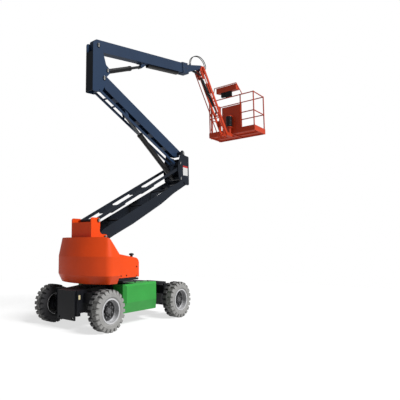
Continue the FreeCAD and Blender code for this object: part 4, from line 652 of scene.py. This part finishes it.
# Boxes under the desk: x, y and underside, then the cable glands' x, their y, radius, foot and top
JUNCTIONS = (
    ((5.112, 5.196), (-0.010, 0.180), 6.084, 5.154, (0.03, 0.085, 0.14), 0.015, (6.074, 6.090)),
    ((5.106, 5.190), (0.205, 0.330), 6.120, 5.150, (0.235, 0.29), 0.013, (6.106, 6.124)),
)
JUNCTION_IN = 0.004
JUNCTION_EDGE = 0.004
KNOCKOUT_X = (5.103, 5.116)
KNOCKOUT_Y = 0.085
KNOCKOUT_Z = 6.180
KNOCKOUT_R = 0.030


def on_desk(y, ahead=0.0):
    return Vector((DESK_AT[0] + ahead, y, DESK_AT[1] - DESK_FALL * ahead))


def dress_console():
    bm = bmesh.new()
    for y in STICK_Y:
        seat = on_desk(y)
        add_stack(bm, seat, DESK_OUT, STICK_FOOT, seg=28)
        for k in range(BELLOWS):
            heights = (BELLOWS_START + BELLOWS_PITCH * k, BELLOWS_START + BELLOWS_PITCH * (k + 1))
            add_stack(bm, seat, DESK_OUT, [(h, r - BELLOWS_STEP * k) for h, r in zip(heights, BELLOWS_R)])
        add_stack(bm, seat, DESK_OUT, STICK_SHAFT, seg=20)
        add_stack(bm, seat, DESK_OUT, STICK_GRIP, seg=20)
    for y in SWITCH_Y:
        seat = on_desk(y, SWITCH_AHEAD)
        add_stack(bm, seat, DESK_OUT, SWITCH_NUT, seg=12)
        add_stack(bm, seat, DESK_OUT, SWITCH_LEVER, seg=12)
    piece("desk_controls", bm, PLASTIC, "platform", edge=0.0)
    bm = bmesh.new()
    add_stack(bm, on_desk(STOP_Y), DESK_OUT, STOP_NECK)
    add_stack(bm, on_desk(STOP_Y), DESK_OUT, STOP_HEAD, seg=28)
    piece("desk_stop", bm, RED, "platform", edge=0.001)
    bm = bmesh.new()
    for (x0, x1), (y0, y1), low, gland_x, glands, r, (foot, top) in JUNCTIONS:
        add_block(bm, (x0, y0, low), (x1, y1, DESK_LOW + JUNCTION_IN))
        for y in glands:
            add_rod(bm, (gland_x, y, foot), (gland_x, y, top), r, seg=20)
    add_rod(bm, *((x, KNOCKOUT_Y, KNOCKOUT_Z) for x in KNOCKOUT_X), KNOCKOUT_R, seg=28)
    piece("desk_junction", bm, PLASTIC, "platform", edge=JUNCTION_EDGE)


# Floor: crossing wires over the plate, clear of its edge
MESH_STEP = 0.052
MESH_EDGE = 0.020
MESH_R = 0.003
MESH_SHORTEST = 0.03     # share of a full wire below which it is left out


def dress_floor():
    low, high, _ = box_of("platform_floor")
    x0, x1 = low.x + MESH_EDGE, high.x - MESH_EDGE
    y0, y1 = low.y + MESH_EDGE, high.y - MESH_EDGE
    run = x1 - x0
    bm = bmesh.new()
    for lean, start in ((-1, x1), (1, x0)):
        y = y0 - run
        while y < y1:
            shares = (max(0.0, (y0 - y) / run), min(1.0, (y1 - y) / run))
            if shares[1] - shares[0] > MESH_SHORTEST:
                ends = [(start + lean * run * share, y + run * share, high.z - SUNK) for share in shares]
                add_rod(bm, *ends, MESH_R, seg=4)
            y += MESH_STEP
    piece("floor_grating", bm, GRATE, "platform", edge=0.0)


# Gate: block of the latch at the free edge, with its spindle and lever
LATCH_BACK = 0.035
LATCH_Z = 5.490
LATCH_HALF = Vector((0.022, 0.020, 0.030))
SPINDLE_OUT = 0.048
SPINDLE_R = 0.007
LEVER_OUT = 0.046
LEVER_UP = 0.010
LEVER_LENGTH = 0.060
LEVER_R = 0.006


def dress_gate():
    _, high, middle = box_of("gate")
    latch = Vector((high.x - LATCH_BACK, middle.y, LATCH_Z))
    bm = bmesh.new()
    add_block(bm, latch - LATCH_HALF, latch + LATCH_HALF)
    add_rod(bm, latch - Y * LATCH_HALF.y, latch - Y * SPINDLE_OUT, SPINDLE_R, seg=16)
    lever = latch - Y * LEVER_OUT + Z * LEVER_UP
    add_rod(bm, lever, lever - X * LEVER_LENGTH, LEVER_R, seg=16)
    piece("gate_latch", bm, STEEL, "gate", edge=0.001)


# Rotator: bands up from its foot, off its middle and down from its top, and the bolts between them
BAND_R = 0.0900
BAND_ROUND = 0.0045
BAND_UP = 0.030
BAND_OFF_MIDDLE = -0.020
BAND_DOWN = 0.065
BAND_BOLTS = 8
BAND_BOLT_CIRCLE = 0.0885
BAND_BOLT_R = 0.006
BAND_BOLT_UP = 0.020
BAND_BOLT_LENGTH = 0.040


def dress_rotator():
    low, high, middle = box_of("rotator")
    bm = bmesh.new()
    for z in (low.z + BAND_UP, middle.z + BAND_OFF_MIDDLE, high.z - BAND_DOWN):
        add_ring(bm, Vector((middle.x, middle.y, z)), Z, BAND_R, BAND_ROUND)
    for foot in round_circle(middle + Z * BAND_BOLT_UP, X, Y, BAND_BOLT_CIRCLE, BAND_BOLTS, 0.5):
        add_rod(bm, foot, foot + Z * BAND_BOLT_LENGTH, BAND_BOLT_R, seg=12)
    piece("rotator_bands", bm, GLOSS, BODY_OF["rotator"], edge=0.0)


for end in ("fixed", "steer"):
    for side, hand in HANDS:
        dress_wheel(end + "_" + hand, Y * side)
dress_pins()
dress_sign()
dress_covers()
dress_underframe()
for kind in CYLINDERS:
    dress_cylinder(kind)
dress_collar()
dress_console()
dress_floor()
dress_gate()
dress_rotator()


# Stage and light
FLOOR_HALF = 9.0
FLOOR_X = 1.0
FLOOR_TINT = 0.2
FLOOR_GLOW = 0.68
WORLD_LIGHT = 0.32
SUN_STRENGTH = 6.2
SUN_ANGLE = 24.0
SUN_TOWARD = Vector((0.14, -0.83, 0.95))


def build_floor():
    """Pale floor that keeps the shadow."""
    mesh = bpy.data.meshes.new("floor")
    corners = [(FLOOR_X + a * FLOOR_HALF, b * FLOOR_HALF, 0) for a, b in ((-1, -1), (1, -1), (1, 1), (-1, 1))]
    mesh.from_pydata(corners, [], [(0, 1, 2, 3)])
    floor = bpy.data.objects.new("floor", mesh)
    scene.collection.objects.link(floor)
    mat = bpy.data.materials.new("floor_pale")
    mat.use_nodes = True
    shader = mat.node_tree.nodes["Principled BSDF"].inputs
    shader["Base Color"].default_value = (FLOOR_TINT, FLOOR_TINT, FLOOR_TINT, 1)
    shader["Emission Color"].default_value = (1, 1, 1, 1)
    shader["Emission Strength"].default_value = FLOOR_GLOW
    shader["Roughness"].default_value = 0.9
    shader["Specular IOR Level"].default_value = 0.1
    mesh.materials.append(mat)


def build_world():
    """Soft light on the object, and plain white behind it and through it."""
    world = bpy.data.worlds.new("studio")
    world.use_nodes = True
    scene.world = world
    nodes = world.node_tree.nodes
    links = world.node_tree.links
    light = nodes["Background"]
    white = nodes.new("ShaderNodeBackground")
    for background, strength in ((light, WORLD_LIGHT), (white, 1.0)):
        background.inputs["Color"].default_value = (1, 1, 1, 1)
        background.inputs["Strength"].default_value = strength
    path = nodes.new("ShaderNodeLightPath")
    seen = nodes.new("ShaderNodeMath")
    seen.operation = "MAXIMUM"
    links.new(path.outputs["Is Camera Ray"], seen.inputs[0])
    links.new(path.outputs["Is Transmission Ray"], seen.inputs[1])
    mix = nodes.new("ShaderNodeMixShader")
    links.new(seen.outputs[0], mix.inputs["Fac"])
    links.new(light.outputs[0], mix.inputs[1])
    links.new(white.outputs[0], mix.inputs[2])
    links.new(mix.outputs[0], nodes["World Output"].inputs["Surface"])


def build_sun():
    sun = bpy.data.lights.new("sun", "SUN")
    sun.energy = SUN_STRENGTH
    sun.angle = math.radians(SUN_ANGLE)
    lamp = bpy.data.objects.new("sun", sun)
    scene.collection.objects.link(lamp)
    lamp.rotation_euler = SUN_TOWARD.to_track_quat("Z", "Y").to_euler()


build_floor()
build_world()
build_sun()
